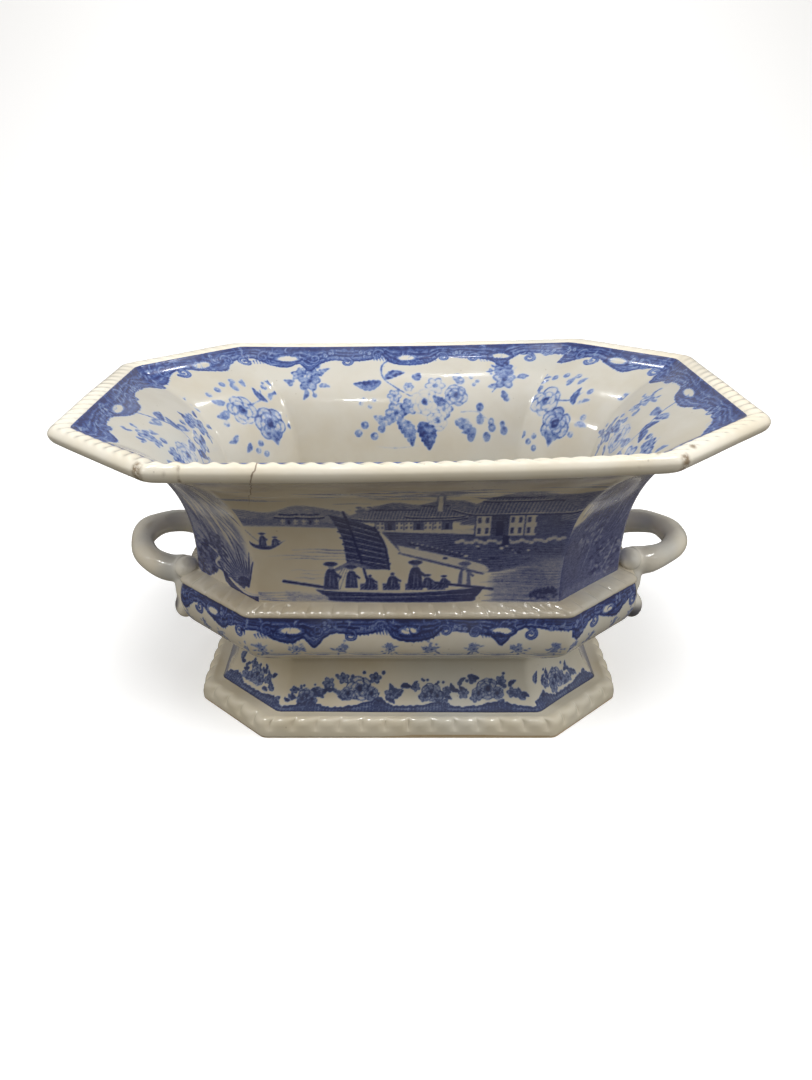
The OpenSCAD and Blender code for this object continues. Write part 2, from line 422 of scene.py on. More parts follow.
def curl(c, x, y, r, angle, tone=0.95, light=0.4, flip=1, turn=430, width=2.4):
    """A scroll end: a pale band that coils in, outlined in dark."""
    scroll(c, x, y, r, angle, width, tone, turn, flip)
    scroll(c, x, y, r, angle, 0.5 * width, light, turn, flip)


def posy(c, x, y, w, h, tone):
    """A wide low bunch: a rose in the middle, leaves and buds thinning out to both sides."""
    r = c.rng
    for m in (-1, 1):
        for k in range(7):
            px = x + m * w * (0.12 + 0.055 * k)
            py = y + h * r.uniform(-0.34, 0.34) * (1 - 0.05 * k)
            kind = k % 3
            if kind == 0:
                bud(c, px, py, 90 - m * r.uniform(20, 130), 0.3 * h, 0.16 * h, min(1, tone * 1.3))
            elif kind == 1:
                blossom(c, px, py, 0.16 * h, tone, turn=r.uniform(0, 70))
            else:
                c.disc(px, py, 0.07 * h, tone)
                bud(c, px, py, 90 + m * r.uniform(-60, 60), 0.26 * h, 0.13 * h, tone)
    rose(c, x, y + 0.02 * h, 0.34 * h, tone, core=0.95)
    for m in (-1, 1):
        rose(c, x + m * 0.13 * w, y - 0.12 * h, 0.2 * h, tone * 1.2, core=1.0)
    for k in range(6):
        c.disc(x + r.uniform(-0.3, 0.3) * w, y + r.uniform(0.25, 0.5) * h, 0.05 * h, tone)


# ---------------------------------------------------------------- motifs
def leaf(c, x, y, angle, length, width, tone, teeth=5, veins=True):
    """A serrated leaf from its stalk at (x, y), one half of it lit."""
    t = np.linspace(0, 1, 4 * teeth + 1)
    half = width / 2 * np.sin(pi * t ** 0.8) ** 0.8 * (0.8 + 0.28 * ((t * teeth) % 1))
    bend = 0.12 * length * np.sin(pi * t)
    upper = np.stack([t * length, bend + half], 1)
    middle = np.stack([t * length, bend], 1)
    lower = np.stack([t * length, bend - half], 1)
    c.fill(turned(np.vstack([upper, lower[::-1]]), x, y, angle), tone)
    if veins:
        c.fill(turned(np.vstack([upper * [1, 0.92], middle[::-1]]), x, y, angle), tone * 0.68)
        c.line(turned(middle[: int(0.9 * len(t))], x, y, angle), 0.5, tone * 0.3, taper=-0.7)
        for k in (0.25, 0.45, 0.65):
            m = 0.12 * length * sin(pi * k)
            vein = [(k * length, m), ((k + 0.16) * length, m - 0.32 * width)]
            c.line(turned(vein, x, y, angle), 0.4, tone * 0.5)


def bud(c, x, y, angle, length, width, tone):
    """A small leaf or bud, without veins."""
    leaf(c, x, y, angle, length, width, tone, teeth=3, veins=False)


def blossom(c, x, y, r, tone, petals=5, core=0.8, turn=0.0):
    """An open flower; each petal has a darker outer edge."""
    for k in range(petals):
        a = turn + 360 * k / petals
        px, py = polar(x, y, 0.55 * r, a)
        c.disc(px, py, 0.5 * r, min(1, tone + 0.22), 0.75, a)
        c.disc(*polar(px, py, -0.07 * r, a), 0.4 * r, tone * 0.6, 0.75, a)
    c.disc(x, y, 0.22 * r, core)


def rose(c, x, y, r, tone, core=0.85, lit=0.35):
    """A loose rose: cupped petals, larger outside, each darker at its edge and towards the heart."""
    for share, count, size in ((0.62, 6, 0.46), (0.38, 5, 0.36), (0.15, 3, 0.26)):
        for k in range(count):
            a = 360 * k / count + 67 * share + c.rng.uniform(-14, 14)
            px, py = polar(x, y, share * r, a)
            s = size * r * c.rng.uniform(0.88, 1.12)
            c.disc(px, py, s, min(1, tone * 1.4), 0.85, a + 90)
            c.disc(*polar(px, py, 0.05 * s, a), 0.84 * s, tone * lit, 0.83, a + 90)
            c.disc(*polar(px, py, -0.42 * s, a), 0.4 * s, tone, 0.6, a + 90, soft=1.2)
    c.disc(x, y, 0.24 * r, min(1, 1.3 * tone), 1.1, soft=1.2)
    c.disc(x, y, 0.17 * r, core, 1.5)


def berries(c, pts, r, tone):
    for x, y in pts:
        c.disc(x, y, r, tone)
        c.disc(x + 0.25 * r, y + 0.3 * r, 0.35 * r, tone * 0.4)


def stem(c, *pts, width=0.8, tone=0.6):
    c.line(smooth(*pts), width, tone, taper=-0.4)


def sprig(c, x, y, size, angle, tone):
    """A small spray: a blossom or two, leaves and buds, scattered by the canvas's own dice."""
    r = c.rng
    stem(c, *turned([(-0.5, 0.1), (0, 0), (0.55, -0.1)], x, y, angle, size), tone=tone, width=0.6)
    for k in range(5):
        a = angle + 72 * k + r.uniform(-20, 20)
        d = size * r.uniform(0.22, 0.4)
        bud(c, *polar(x, y, d, a), a + r.uniform(-30, 30), size * r.uniform(0.28, 0.42), size * 0.16,
            tone * r.uniform(0.7, 1.15))
    blossom(c, x, y, 0.3 * size, tone * 0.8, turn=r.uniform(0, 70))
    side = turned([(0.36, 0.12)], x, y, angle, size)[0]
    blossom(c, side[0], side[1], 0.2 * size, tone * 0.9, turn=r.uniform(0, 70))
    dots = turned(r.uniform(-0.55, 0.55, (6, 2)), x, y, angle, size)
    berries(c, dots, 0.05 * size + 0.35, tone * 0.9)


def scroll(c, x, y, r, angle, width, tone, turn=420, flip=1, shrink=0.8):
    """A C-scroll that curls in on itself."""
    t = np.linspace(0, 1, 26)
    rad = r * (1 - shrink * t)
    a = np.radians(angle + flip * turn * t)
    pts = np.stack([x + rad * np.cos(a), y + rad * np.sin(a)], 1)
    c.line(pts, width, tone, taper=-0.35)


def flowerets(c, x, y, size, count=5):
    """White flower heads on the blue ground."""
    for _ in range(count):
        px, py = x + c.rng.uniform(-1, 1) * size, y + c.rng.uniform(-0.6, 0.6) * size * 0.8
        r = size * c.rng.uniform(0.24, 0.38)
        c.disc(px, py, 1.15 * r, 0.95)
        for k in range(5):
            c.disc(*polar(px, py, 0.55 * r, 72 * k + 20 * c.rng.random()), 0.4 * r, 0.22)
        c.disc(px, py, 0.2 * r, 0.8)


# for each kind of panel: the border's edge, its reserves (x, width), its curls (x, depth, angle, flip),
# its flower heads (x, depth) and its combs (x, depth, angle)
BORDERS = {
    "long": (LONG_EDGE, ((-58, 14), (0, 11), (46, 13)),
             ((-45, 7, 200, 1), (-29, 10, 100, -1), (-14, 5, 20, 1), (18, 7, 160, -1), (33, 8, 30, 1),
              (60, 9, 90, -1), (-70, 6, 60, 1)),
             ((-38, 5), (-20, 5), (26, 5), (70, 5)), ((-16, 7, -4), (4, 9, 5), (36, 9, 0), (-76, 9, 0))),
    "end": (END_EDGE, ((-6, 14),), ((-28, 8, 60, 1), (12, 8, 150, -1), (28, 6, 20, 1)),
            ((-16, 5), (22, 6)), ((-36, 9, 0), (34, 8, 0))),
    "corner": (CORNER_EDGE, ((2, 12),),
               ((-18, 6, 60, 1), (-10, 8, 200, 1), (16, 6, 160, -1), (24, 9, 60, 1)),
               ((-26, 5), (10, 4)), ((-34, 9, 0), (26, 8, 0))),
}


def border(c, k, tone, dark, deep):
    """The scrolled border of panel k, at deep times the belly's depth."""
    kind = {0: "long", 2: "end"}.get(k % 4, "corner")
    edge, spots, curls, flowers, combs = BORDERS[kind]
    wide = 1.32 if deep > 1 else 1.0
    garland(c, [(wide * x, deep * d) for x, d in edge], tone, dark=dark)
    for x, w in spots:
        depth = deep * (6.0 if kind == "corner" else 7.2)
        reserve(c, wide * x, -depth, w * deep * 0.9, 4.2 * deep, 1.5 * deep, tone)
    for x in np.arange(edge[0][0], edge[-1][0], 3.4):
        depth = deep * np.interp(x, [e[0] for e in edge], [e[1] for e in edge])
        py = -c.rng.uniform(1.6, max(2.4, depth - 1.6))
        a, r = c.rng.uniform(0, 360), c.rng.uniform(1.4, 3.6) * deep
        arc = turned([(r * cos(q), r * sin(q)) for q in np.linspace(0, 2.6, 7)], wide * x, py, a)
        c.line(arc, c.rng.uniform(0.6, 1.2), c.rng.choice([0.3, 0.42, 1.0]), taper=0.8)
    for x, y, a, f in curls:
        curl(c, wide * x, -deep * y, 3.4 * deep, a, dark, flip=f, width=1.9 * deep)
    for x, y in flowers:
        flowerets(c, wide * x, -deep * y, 3.6 * deep)
    for x, y, a in combs:
        comb(c, wide * x, -deep * y, 12 * deep, 8, dark, a, tooth=2.6 * deep)


# ---------------------------------------------------------------- pictures on the outside wall
def figure(c, x, y, h, tone=0.92, hat=True, seated=False, robe=None):
    """A tiny generic robed figure."""
    h = h * (0.7 if seated else 1)
    w = h * (0.62 if seated else 0.44)
    body = smooth((-0.5 * w, 0), (-0.42 * w, 0.4 * h), (-0.3 * w, 0.66 * h), (-0.1 * w, 0.76 * h),
                  (0.16 * w, 0.76 * h), (0.34 * w, 0.64 * h), (0.44 * w, 0.36 * h), (0.5 * w, 0), n=3)
    c.fill(turned(body, x, y, 0), tone)
    c.line([(x - 0.1 * w, y + 0.05 * h), (x - 0.02 * w, y + 0.62 * h)], 0.5, tone * 0.45, taper=0.5)
    c.line([(x + 0.2 * w, y + 0.08 * h), (x + 0.14 * w, y + 0.5 * h)], 0.45, tone * 0.55, taper=0.5)
    if robe is not None:
        c.line([(x, y + 0.1 * h), (x + 0.05 * w, y + 0.6 * h)], 0.36 * w, robe)
    c.line(turned([(0.2 * w, 0.62 * h), (0.62 * w, 0.44 * h)], x, y, 0), 0.2 * w, tone)
    c.disc(x, y + 0.83 * h, 0.09 * h, 0.35)
    if hat:
        c.disc(x, y + 0.93 * h, 0.2 * h, tone, 0.42)
    else:
        c.disc(x, y + 0.89 * h, 0.1 * h, tone, 0.8)


def tree_mass(c, x, y, w, h, tone, count=26):
    """A clump of foliage: dark dabs with small lit ones over them."""
    for k in range(3 * count):
        a, d = c.rng.uniform(0, 2 * pi), np.sqrt(c.rng.random())
        r = min(w, h) * c.rng.uniform(0.07, 0.13)
        px, py = x + d * (w / 2 - r) * cos(a), y + d * (h / 2 - r) * sin(a)
        shade = tone * c.rng.uniform(0.78, 1.08) if k < 2 * count else tone * c.rng.uniform(0.45, 0.7)
        size = r if k < 2 * count else 0.5 * r
        c.disc(px, py, size, min(1, shade), 0.6, c.rng.uniform(-40, 40), soft=0.8)


def sky(c, x0, x1, y0, y1, count, tone):
    """Long thin drifts of cloud."""
    for _ in range(count):
        x, y = c.rng.uniform(x0, x1), c.rng.uniform(y0, y1)
        length = c.rng.uniform(10, 44)
        rise = c.rng.uniform(-1.6, 1.6)
        c.line(smooth((x, y), (x + length / 2, y + rise), (x + length, y + 0.3 * rise)),
               c.rng.uniform(0.5, 1.5), tone * c.rng.uniform(0.6, 1.2), taper=1, soft=0.8)


def water(c, x0, x1, y0, y1, pitch, tone):
    """Ripple lines, a pitch apart."""
    for y in np.arange(y0, y1, pitch):
        a, b = c.rng.uniform(x0, x0 + 0.3 * (x1 - x0)), c.rng.uniform(x1 - 0.3 * (x1 - x0), x1)
        mid = (a + b) / 2
        c.line(smooth((a, y), ((a + mid) / 2, y + 0.4), (mid, y - 0.3), (b, y + 0.3)),
               c.rng.uniform(0.6, 1.1), tone * c.rng.uniform(0.75, 1.15), taper=0.8, soft=0.6)


def curved_roof(c, x0, x1, eave, ridge, inset, tone, tiles=1.5, lip=2.0):
    """A roof with upswept eaves, tiled with fine ribs."""
    mid = (x0 + x1) / 2
    turn = 0.16 * (x1 - x0)
    low = smooth((x0, eave + lip), (x0 + turn, eave + 0.2), (mid, eave), (x1 - turn, eave + 0.2),
                 (x1, eave + lip))
    top = smooth((x1 - inset, ridge), (mid, ridge - 0.4), (x0 + inset, ridge))
    bend = eave + 0.38 * (ridge - eave)
    side_r = smooth((x1, eave + lip), (x1 - 0.55 * inset, bend), (x1 - inset, ridge))
    side_l = smooth((x0 + inset, ridge), (x0 + 0.55 * inset, bend), (x0, eave + lip))
    outline = np.vstack([low, side_r, top, side_l])
    c.fill(outline, tone * 0.45)
    c.hatch(outline, tone, angle=78, pitch=tiles, duty=0.5, soft=0.4)
    c.line(low, 1.0, 0.95)
    c.line(low + [0, 1.0], 0.6, 0.1)
    c.line(top, 1.1, 0.9)


def walls(c, x0, x1, y0, y1, bays, dark=0.85, light=0.12):
    """A row of pale and dark bays with doors and windows."""
    c.fill(box(x0, y0, x1, y1), light)
    w, h = (x1 - x0) / bays, y1 - y0
    for k in range(bays):
        a = x0 + k * w
        if k % 3 == 1:
            c.fill(box(a, y0, a + w, y1), dark * 0.8)
            c.hatch(box(a, y0, a + w, y1), dark, angle=0, pitch=1.6, soft=0.3)
            c.fill(box(a + 0.3 * w, y0, a + 0.7 * w, y0 + 0.7 * h), 1)
        else:
            for q in (0.25, 0.72):
                for r in (0.12, 0.62):
                    wx, wy = a + q * w, y0 + r * h
                    c.fill(box(wx - 0.09 * w, wy, wx + 0.09 * w, wy + 0.26 * h), dark)
        c.line([(a, y0), (a, y1)], 0.6, dark)
    c.line([(x1, y0), (x1, y1)], 0.6, dark)


def mat_sail(c, corners, tone, battens=8):
    """A battened mat sail between four corners: top left, top right, bottom right, bottom left."""
    tl, tr, br, bl = (np.array(q, dtype=float) for q in corners)
    right = smooth(tr, (tr + br) / 2 + [1.6, 0.8], br)
    left = smooth(bl, (tl + bl) / 2 + [1.8, 0.8], tl)
    c.fill(np.vstack([smooth(tl, (tl + tr) / 2 + [0, 0.6], tr), right,
                      smooth(br, (br + bl) / 2 - [0, 1.5], bl), left]), tone)
    c.hatch(np.vstack([tl, right, left]), min(1, tone + 0.14), angle=-24, pitch=1.5, duty=0.5, soft=0.6)
    for k in range(1, battens):
        t = k / battens
        a, b = tl + t * (bl - tl) + [1.2, 0], tr + t * (br - tr) + [1.4, 0]
        c.line([a, b], 0.8, 1.0)
        c.line([a - [0, 0.9], b - [0, 0.9]], 0.6, tone * 0.35, taper=0.3)
    c.line(right, 0.9, 1.0)


def junk(c, x, y):
    """A river boat with a mat sail, a railed deck and robed figures."""
    def at(px, py):
        return (x + px, y + py)

    def run(*pts):
        return [at(*p) for p in pts]

    mat_sail(c, run((-33, 51), (-11.6, 41.5), (-4.6, 14), (-25, 17.5)), 0.8)
    c.line(run((-26, 53), (-15, 6)), 1.2, 1.0)
    for k in (-34, -31.5, -29):
        c.line(run((k, 1), (k * 0.35 - 14, 17)), 0.45, 0.55)
    arch = smooth(*run((-30, 14), (-23, 17.5), (-15, 15)))
    c.line(arch, 2.2, 0.55)
    hull = np.vstack([smooth(*run((-41, 1.5), (-30, 0.2), (0, -0.6), (25, 0.8), (42, 3))),
                      smooth(*run((42, 3), (38, -3), (31, -6), (-27, -6), (-35, -3), (-41, 1.5)))])
    c.fill(hull, 0.88)
    c.hatch(hull, 1.0, angle=2, pitch=1.7, duty=0.5, soft=0.5)
    c.line(smooth(*run((-40, 2), (-30, 0.9), (0, 0.1), (25, 1.5), (41, 3.4))), 0.8, 0.12)
    c.line(smooth(*run((-36, -2.8), (0, -3.2), (36, -1.2))), 0.5, 0.3, taper=0.5)
    for a in (-19, -8, 3, 14):
        rail = box(*at(a, 1), *at(a + 9, 5.5))
        c.fill(rail, 0.55)
        c.hatch(rail, 0.95, angle=45, pitch=1.4, soft=0.3)
        c.line(rail + rail[:1], 0.55, 0.1)
    for px, h, seated in ((-33, 17, False), (-23, 14, False), (-14, 12, True), (-3, 14, True),
                          (8, 17, False), (14, 12, True), (22, 11, True)):
        c_y = 2.5 if px > -28 else 1.5
        figure(c, *at(px, c_y), h, seated=seated, hat=not seated or px > 0)
    figure(c, *at(32, 3.2), 15, tone=0.6, robe=0.1)
    c.line(run((-56, 6.5), (-33, 2.2)), 1.7, 0.95)
    c.line(run((18, 5.6), (46, 1.5)), 1.4, 0.95)


def sampan(c, x, y):
    """A small upturned boat with two people."""
    hull = np.vstack([smooth((-10, 6), (-5, 1.6), (3, 0.4), (10, 4)),
                      smooth((10, 4), (3, -1.6), (-5, -0.6), (-10, 6))])
    c.fill(turned(hull, x, y, 0), 0.9)
    for k in (-1.0, 5.0):
        figure(c, x + k, y + 0.6, 8.5, seated=k > 0)
    c.line(turned([(-3, 3.5), (-9, 11)], x, y, 0), 0.45, 0.5)


def river_scene(c):
    """A broad river with a boat, low halls on the far bank, hills and drifting cloud."""
    sky(c, -100, 80, 66, 84, 34, 0.42)
    sky(c, -30, 30, 71, 78, 12, 0.7)
    for pts, tone in (([(-100, 58), (-84, 63), (-66, 60), (-52, 66), (-36, 62), (-28, 58), (-28, 50),
                        (-100, 50)], 0.4),
                      ([(-34, 52), (-24, 60), (-8, 68), (4, 66), (16, 70), (30, 66), (30, 52)], 0.56),
                      ([(24, 60), (40, 72), (56, 77), (74, 73), (104, 78), (104, 50), (24, 50)], 0.66)):
        outline = smooth(*pts, n=4)
        c.fill(outline, tone * 0.6, soft=1.5)
        c.hatch(outline, tone, angle=24, pitch=1.5, duty=0.6)
    for clump in ((-14, 62, 30, 9, 0.62), (22, 64, 22, 7, 0.62), (-62, 57, 26, 6, 0.5),
                  (80, 66, 30, 12, 0.62), (-40, 60, 16, 6, 0.55)):
        tree_mass(c, *clump)
    shore = smooth((-104, 56), (-70, 55), (-40, 52.5), (-12, 48), (-36, 48.5), (-70, 50.5), (-104, 52.5))
    c.fill(shore, 0.5, soft=1.2)
    for px in (-57, -47):
        walls(c, px - 4, px + 5, 51, 55.5, 3, 0.6)
        curved_roof(c, px - 6, px + 7, 55.5, 58.5, 2.5, 0.5, tiles=1.4, lip=0.6)
    land = smooth((-14, 47), (20, 46), (104, 52), (104, 30), (70, 26), (37, 19), (20, 24), (-4, 32), n=5)
    c.fill(land, 0.62, soft=0.8)
    c.hatch(land, 0.86, angle=2, pitch=1.5, duty=0.5, wave=0.6)
    bank = smooth((-6, 37), (14, 31), (36, 24), (37, 19), (20, 24), (-4, 32), n=5)
    c.fill(bank, 0.1, soft=0.8)
    bank_low = smooth((-5, 31.5), (18, 24), (36, 18.2))
    c.line(bank_low, 1.4, 0.7, taper=0.3)
    path = smooth((-20, 47.6), (0, 46.6), (30, 45), (44, 43))
    c.line(path, 3.4, 0.12, taper=0.2)
    c.fill([(40, 1), (100, 1), (100, 32), (66, 28), (40, 16)], 0.38, soft=5)
    for reach in ((34, 98, 2, 31, 1.6, 0.66), (-70, -8, 28, 34, 1.9, 0.4), (-92, -40, 2, 8, 1.6, 0.5),
                  (-60, -36, 16, 22, 2.4, 0.3)):
        water(c, *reach)
    walls(c, -16, 20, 47, 53, 8, 0.75)
    curved_roof(c, -27, 27, 53, 62, 9, 0.72, lip=1.6)
    curved_roof(c, -2, 26, 55, 65, 8, 0.8, lip=1.2)
    tower_x = 14.5
    c.fill([(tower_x - 2, 60), (tower_x + 2, 60), (tower_x + 1.7, 74), (tower_x - 1.7, 74)], 0.1)
    c.line([(tower_x + 1.5, 60), (tower_x + 1.3, 74)], 1.0, 0.7)
    c.line([(tower_x - 1.9, 60), (tower_x - 1.6, 74)], 0.5, 0.7)
    c.fill([(tower_x - 2.4, 74), (tower_x + 2.4, 74), (tower_x, 77.5)], 0.75)
    walls(c, 31, 70, 42, 56.5, 5, 0.85)
    c.fill([(60, 42), (71, 43.5), (71, 57), (60, 56)], 0.72)
    curved_roof(c, 20, 86, 56.5, 67.5, 15, 0.75, tiles=1.7, lip=4.2)
    curved_roof(c, 34, 66, 67, 71, 4, 0.8, tiles=1.4, lip=0.8)
    hedge = smooth((20, 43), (34, 41), (56, 41.6), (78, 44), (78, 38), (56, 35.5), (34, 35.5), (22, 38))
    c.fill(hedge, 0.75)
    for k in range(24):
        hx = 23 + 2.2 * k
        c.disc(hx, 38.4 + 0.9 * sin(1.9 * k) + max(0, (k - 17)) * 0.35, 1.5, 0.2, 0.75)
    c.fill(box(44.5, 36, 47.5, 42), 1)
    for k in range(26):
        bx, by = c.rng.uniform(0, 66), c.rng.uniform(26, 36)
        if by > 33 - 0.3 * bx:
            c.disc(bx, by, c.rng.uniform(0.7, 1.3), c.rng.choice([0.12, 0.95]), 0.7)
    for k in range(11):
        c.disc(1 + 2.4 * k, 37.5 - 0.75 * k, 1.3, 0.9, 0.8)
        c.disc(1.4 + 2.4 * k, 38.2 - 0.75 * k, 0.6, 0.25, 0.8)
    sampan(c, -69, 36)
    c.fill([(-88, 62), (-81, 52), (-78, 41), (-83, 44), (-92, 50)], 0.72)
    c.fill([(-60, 7.5), (-40, 5.5), (-30, 1.5), (-60, 1.5)], 0.3, soft=3)
    junk(c, -5, 7.5)
    tree_mass(c, 66, 5.5, 16, 8, 0.95, 22)
    for k in range(6):
        bud(c, 60 + 2.6 * k, 3 + 0.8 * k, 70 + 12 * k, 5, 2.4, 0.9)


def rock_scene(c):
    """Steep rocks and old trees under drifting cloud."""
    drift(c, -45, 20, 62, 88, 30, 0.28)
    sky(c, -45, 20, 68, 88, 14, 0.4)
    rock = smooth((-40, 70), (-22, 60), (-14, 44), (-18, 30), (-8, 18), (-10, 2), (44, 0),
                  (44, 60), (30, 74), (12, 70), (-10, 76), n=5)
    c.fill(rock, 0.42, soft=4)
    rays(c, -26, 26, 30, 84, 60, 52, (0.12, 0.3, 0.5, 0.62))
    dark = smooth((-26, 46), (4, 54), (26, 50), (34, 30), (34, 0), (-30, 0), (-30, 22), n=5)
    c.fill(dark, 0.76, soft=3)
    rays(c, -26, 24, 22, 54, 26, 78, (0.55, 0.62, 0.92), 2.4)
    tree_mass(c, -6, 34, 30, 24, 0.82, 46)
    tree_mass(c, 12, 14, 34, 26, 0.9, 50)
    rays(c, -22, 26, 4, 40, 16, 65, (0.3, 0.45, 0.95), 1.4)


def sail_scene(c):
    """A moored boat with a feathered sail under a leaning bank."""
    drift(c, -45, 20, 60, 90, 26, 0.26)
    c.fill(smooth((-40, 86), (-10, 80), (12, 62), (22, 36), (10, 14), (-44, 8), n=5), 0.4, soft=6)
    rays(c, -30, 16, 26, 88, 70, -58, (0.5, 0.66, 0.78), 2.6)
    rays(c, -22, 8, 34, 82, 34, -54, (0.05, 0.12), 3.2)
    c.line(smooth((-38, 84), (-28, 50), (-24, 22)), 5, 0.8, taper=0.6)
    tree_mass(c, -19, 13, 28, 28, 0.98, 60)
    tree_mass(c, -4, 22, 16, 26, 0.9, 40)
    c.line(smooth((-12, 22), (-4, 18), (-8, 12), (1, 7)), 1.8, 0.15, taper=0.5)
    for k in range(15):
        a = 68 + 7.2 * k
        size = 27 * (0.82 + 0.18 * sin(1.9 * k))
        c.line(turned([(3, 0), (size, 0)], 17, 5, a), 2.6, 0.9, taper=-0.75)
    for k in range(14):
        c.line(turned([(8, 0), (25, 0)], 17, 5, 71 + 7.2 * k), 0.6, 0.35, taper=-0.5)
    hull = smooth((-4, 12), (4, 5), (16, 1.5), (27, 4), (26, 0), (12, -3), (-1, 3), n=5)
    c.fill(hull, 0.98)
    c.line(smooth((-4, 12.6), (6, 6), (17, 3), (26, 5)), 0.6, 0.3)


def hall_scene(c):
    """A terrace with a small hall between trees."""
    sky(c, -80, 60, 62, 86, 30, 0.42)
    hills = smooth((-90, 50), (-60, 66), (-30, 60), (0, 72), (34, 62), (60, 70), (90, 56), (90, 36),
                   (-90, 36), n=4)
    c.fill(hills, 0.3, soft=1.5)
    c.hatch(hills, 0.55, angle=20, pitch=1.5, duty=0.55)
    ground = smooth((-90, 40), (-40, 34), (0, 38), (40, 32), (90, 38), (90, 4), (-90, 4), n=4)
    c.fill(ground, 0.45, soft=1)
    c.hatch(ground, 0.7, angle=-2, pitch=1.7, duty=0.5, wave=0.8)
    walls(c, -18, 18, 36, 50, 5)
    curved_roof(c, -28, 28, 50, 61, 12, 0.75, lip=3.5)
    curved_roof(c, -12, 12, 61, 67, 5, 0.8, lip=1)
    for x, y, w, h in ((-44, 40, 26, 34), (46, 38, 24, 30), (-22, 12, 30, 12), (30, 10, 26, 10)):
        c.line([(x, y - 0.7 * h), (x + 1, y)], 2.2, 0.95, taper=-0.4)
        tree_mass(c, x, y, w, h, 0.85, 40)
    water(c, -60, 60, 3, 18, 2.0, 0.3)


# ---------------------------------------------------------------- sprays on the inside wall
def great_spray(c):
    """The large bouquet in the middle of a long side."""
    stem(c, (-9, -9), (-15.5, -16), (-15, -27), (-7, -35), (2, -41), width=1.2, tone=0.6)
    for place in ((-16, -30.5, 184, 18, 8.5, 0.78, 6), (-14, -28, 22, 14, 7.0, 0.78, 5),
                  (6, -30, 70, 7, 6.5, 0.66, 3)):
        leaf(c, *place)
    for px, py, r, tone in ((18, -34, 6.5, 0.16), (-8, -41, 4.6, 0.3), (-7, -52, 6.8, 0.36),
                            (1.5, -48, 5.6, 0.46), (23, -50, 6.0, 0.3), (1, -34.5, 3.4, 0.3)):
        blossom(c, px, py, r, tone, petals=6, core=0.62)
    for place in ((11, -45, 9.0, 0.22, 0.92, 0.25), (19, -57, 7.0, 0.3, 0.6, 0.2),
                  (31, -41, 7.5, 0.5, 0.8, 0.3)):
        rose(c, *place)
    for place in ((25, -46, 150, 10, 6, 0.7, 4), (8, -58, -72, 19, 12, 0.85, 6),
                  (-6, -56, -62, 20, 10, 0.55, 6), (-8, -57, 168, 14, 7.5, 0.42, 4),
                  (30, -57, -40, 15, 8.5, 0.5, 4)):
        leaf(c, *place)
    bud(c, 42, -62, 200, 9, 3, 0.5)
    bud(c, 43, -63, 235, 9, 3, 0.5)
    stem(c, (34, -52), (44, -52), (52, -58), width=0.6, tone=0.45)
    for px, py, r in ((46, -49, 3.0), (46, -57, 3.4), (53, -58.5, 2.6), (53.5, -62, 3.0), (60, -60, 2.2),
                      (61, -64, 3.0), (40, -68, 3.0), (50, -68, 3.2), (42, -64, 2.2)):
        c.disc(px, py, 0.78 * r, 0.42, 1.25)
        c.disc(px, py + 0.5 * r, 0.35 * r, 0.62)
    for bunch, r, tone in (([(-31, -65), (-27, -60), (-21, -67), (-16.5, -62.5)], 2.5, 0.48),
                           ([(-29, -46), (-27, -43), (-23.5, -48), (-21, -43.5)], 1.5, 0.34),
                           ([(32, -27.5), (34, -30.5)], 3.0, 0.34),
                           ([(41, -28), (45, -31), (42.5, -33.5)], 1.5, 0.36)):
        berries(c, bunch, r, tone)
    c.line(smooth((-20, -73.5), (-8, -74.6), (8, -73.2)), 0.7, 0.28, taper=1)


def twin_roses(c, x, y):
    """Two roses, one above the other, with buds and leaves."""
    for px, py, *size in ((-12, 9, 160, 9, 5, 0.36), (-14, 3, 190, 10, 6, 0.42), (-16, -12, 200, 9, 4, 0.4),
                          (-10, -18, 230, 7, 4, 0.5), (2, 14, 80, 8, 5, 0.34), (8, 16, 60, 7, 4, 0.34),
                          (17, 4, 30, 8, 3.5, 0.34), (22, -8, 0, 9, 4, 0.36)):
        bud(c, x + px, y + py, *size)
    rose(c, x - 5, y + 2, 9.5, 0.44, core=0.9, lit=0.3)
    rose(c, x + 9, y - 10, 10.5, 0.62, core=1.0, lit=0.35)
    c.fill([(x + 3, y - 15), (x + 15, y - 15), (x + 9, y - 24)], 0.55, soft=1.5)
    stem(c, (x + 4, y + 4), (x + 12, y + 6), (x + 16, y + 12), tone=0.6)
    leaf(c, x + 15, y + 3, 102, 12, 4.6, 0.9, teeth=4)
    dots = [(-18, 16), (-10, 18), (-4, 21), (4, 22), (20, 13), (-20, -4), (-6, -24), (-3, -20), (-1, -27),
            (22, -14), (26, -3)]
    berries(c, [(x + px, y + py) for px, py in dots], 2.0, 0.42)


def branch(c, x, y):
    """A trailing branch with dark leaves, for the short ends."""
    stem(c, (x - 4, y + 30), (x, y + 20), (x + 6, y + 8), (x + 4, y - 6), (x - 4, y - 18), width=0.9,
         tone=0.6)
    for px, py, a in ((2, 16, 20), (1, 18, 170), (6, 8, 330), (5, 0, 200), (2, -8, 320), (-2, -14, 200),
                      (6, 6, 70)):
        leaf(c, x + px, y + py, a, 11, 6, c.rng.uniform(0.5, 0.85), teeth=5)
    rose(c, x - 12, y - 4, 9, 0.34, lit=0.4)
    blossom(c, x + 16, y - 6, 7, 0.34)
    blossom(c, x + 10, y - 20, 6, 0.3)
    berries(c, [(x + px, y + py) for px, py in ((18, 8), (22, 4), (-20, 10), (-22, 4), (-14, -20),
                                                (0, -26))], 2.2, 0.45)


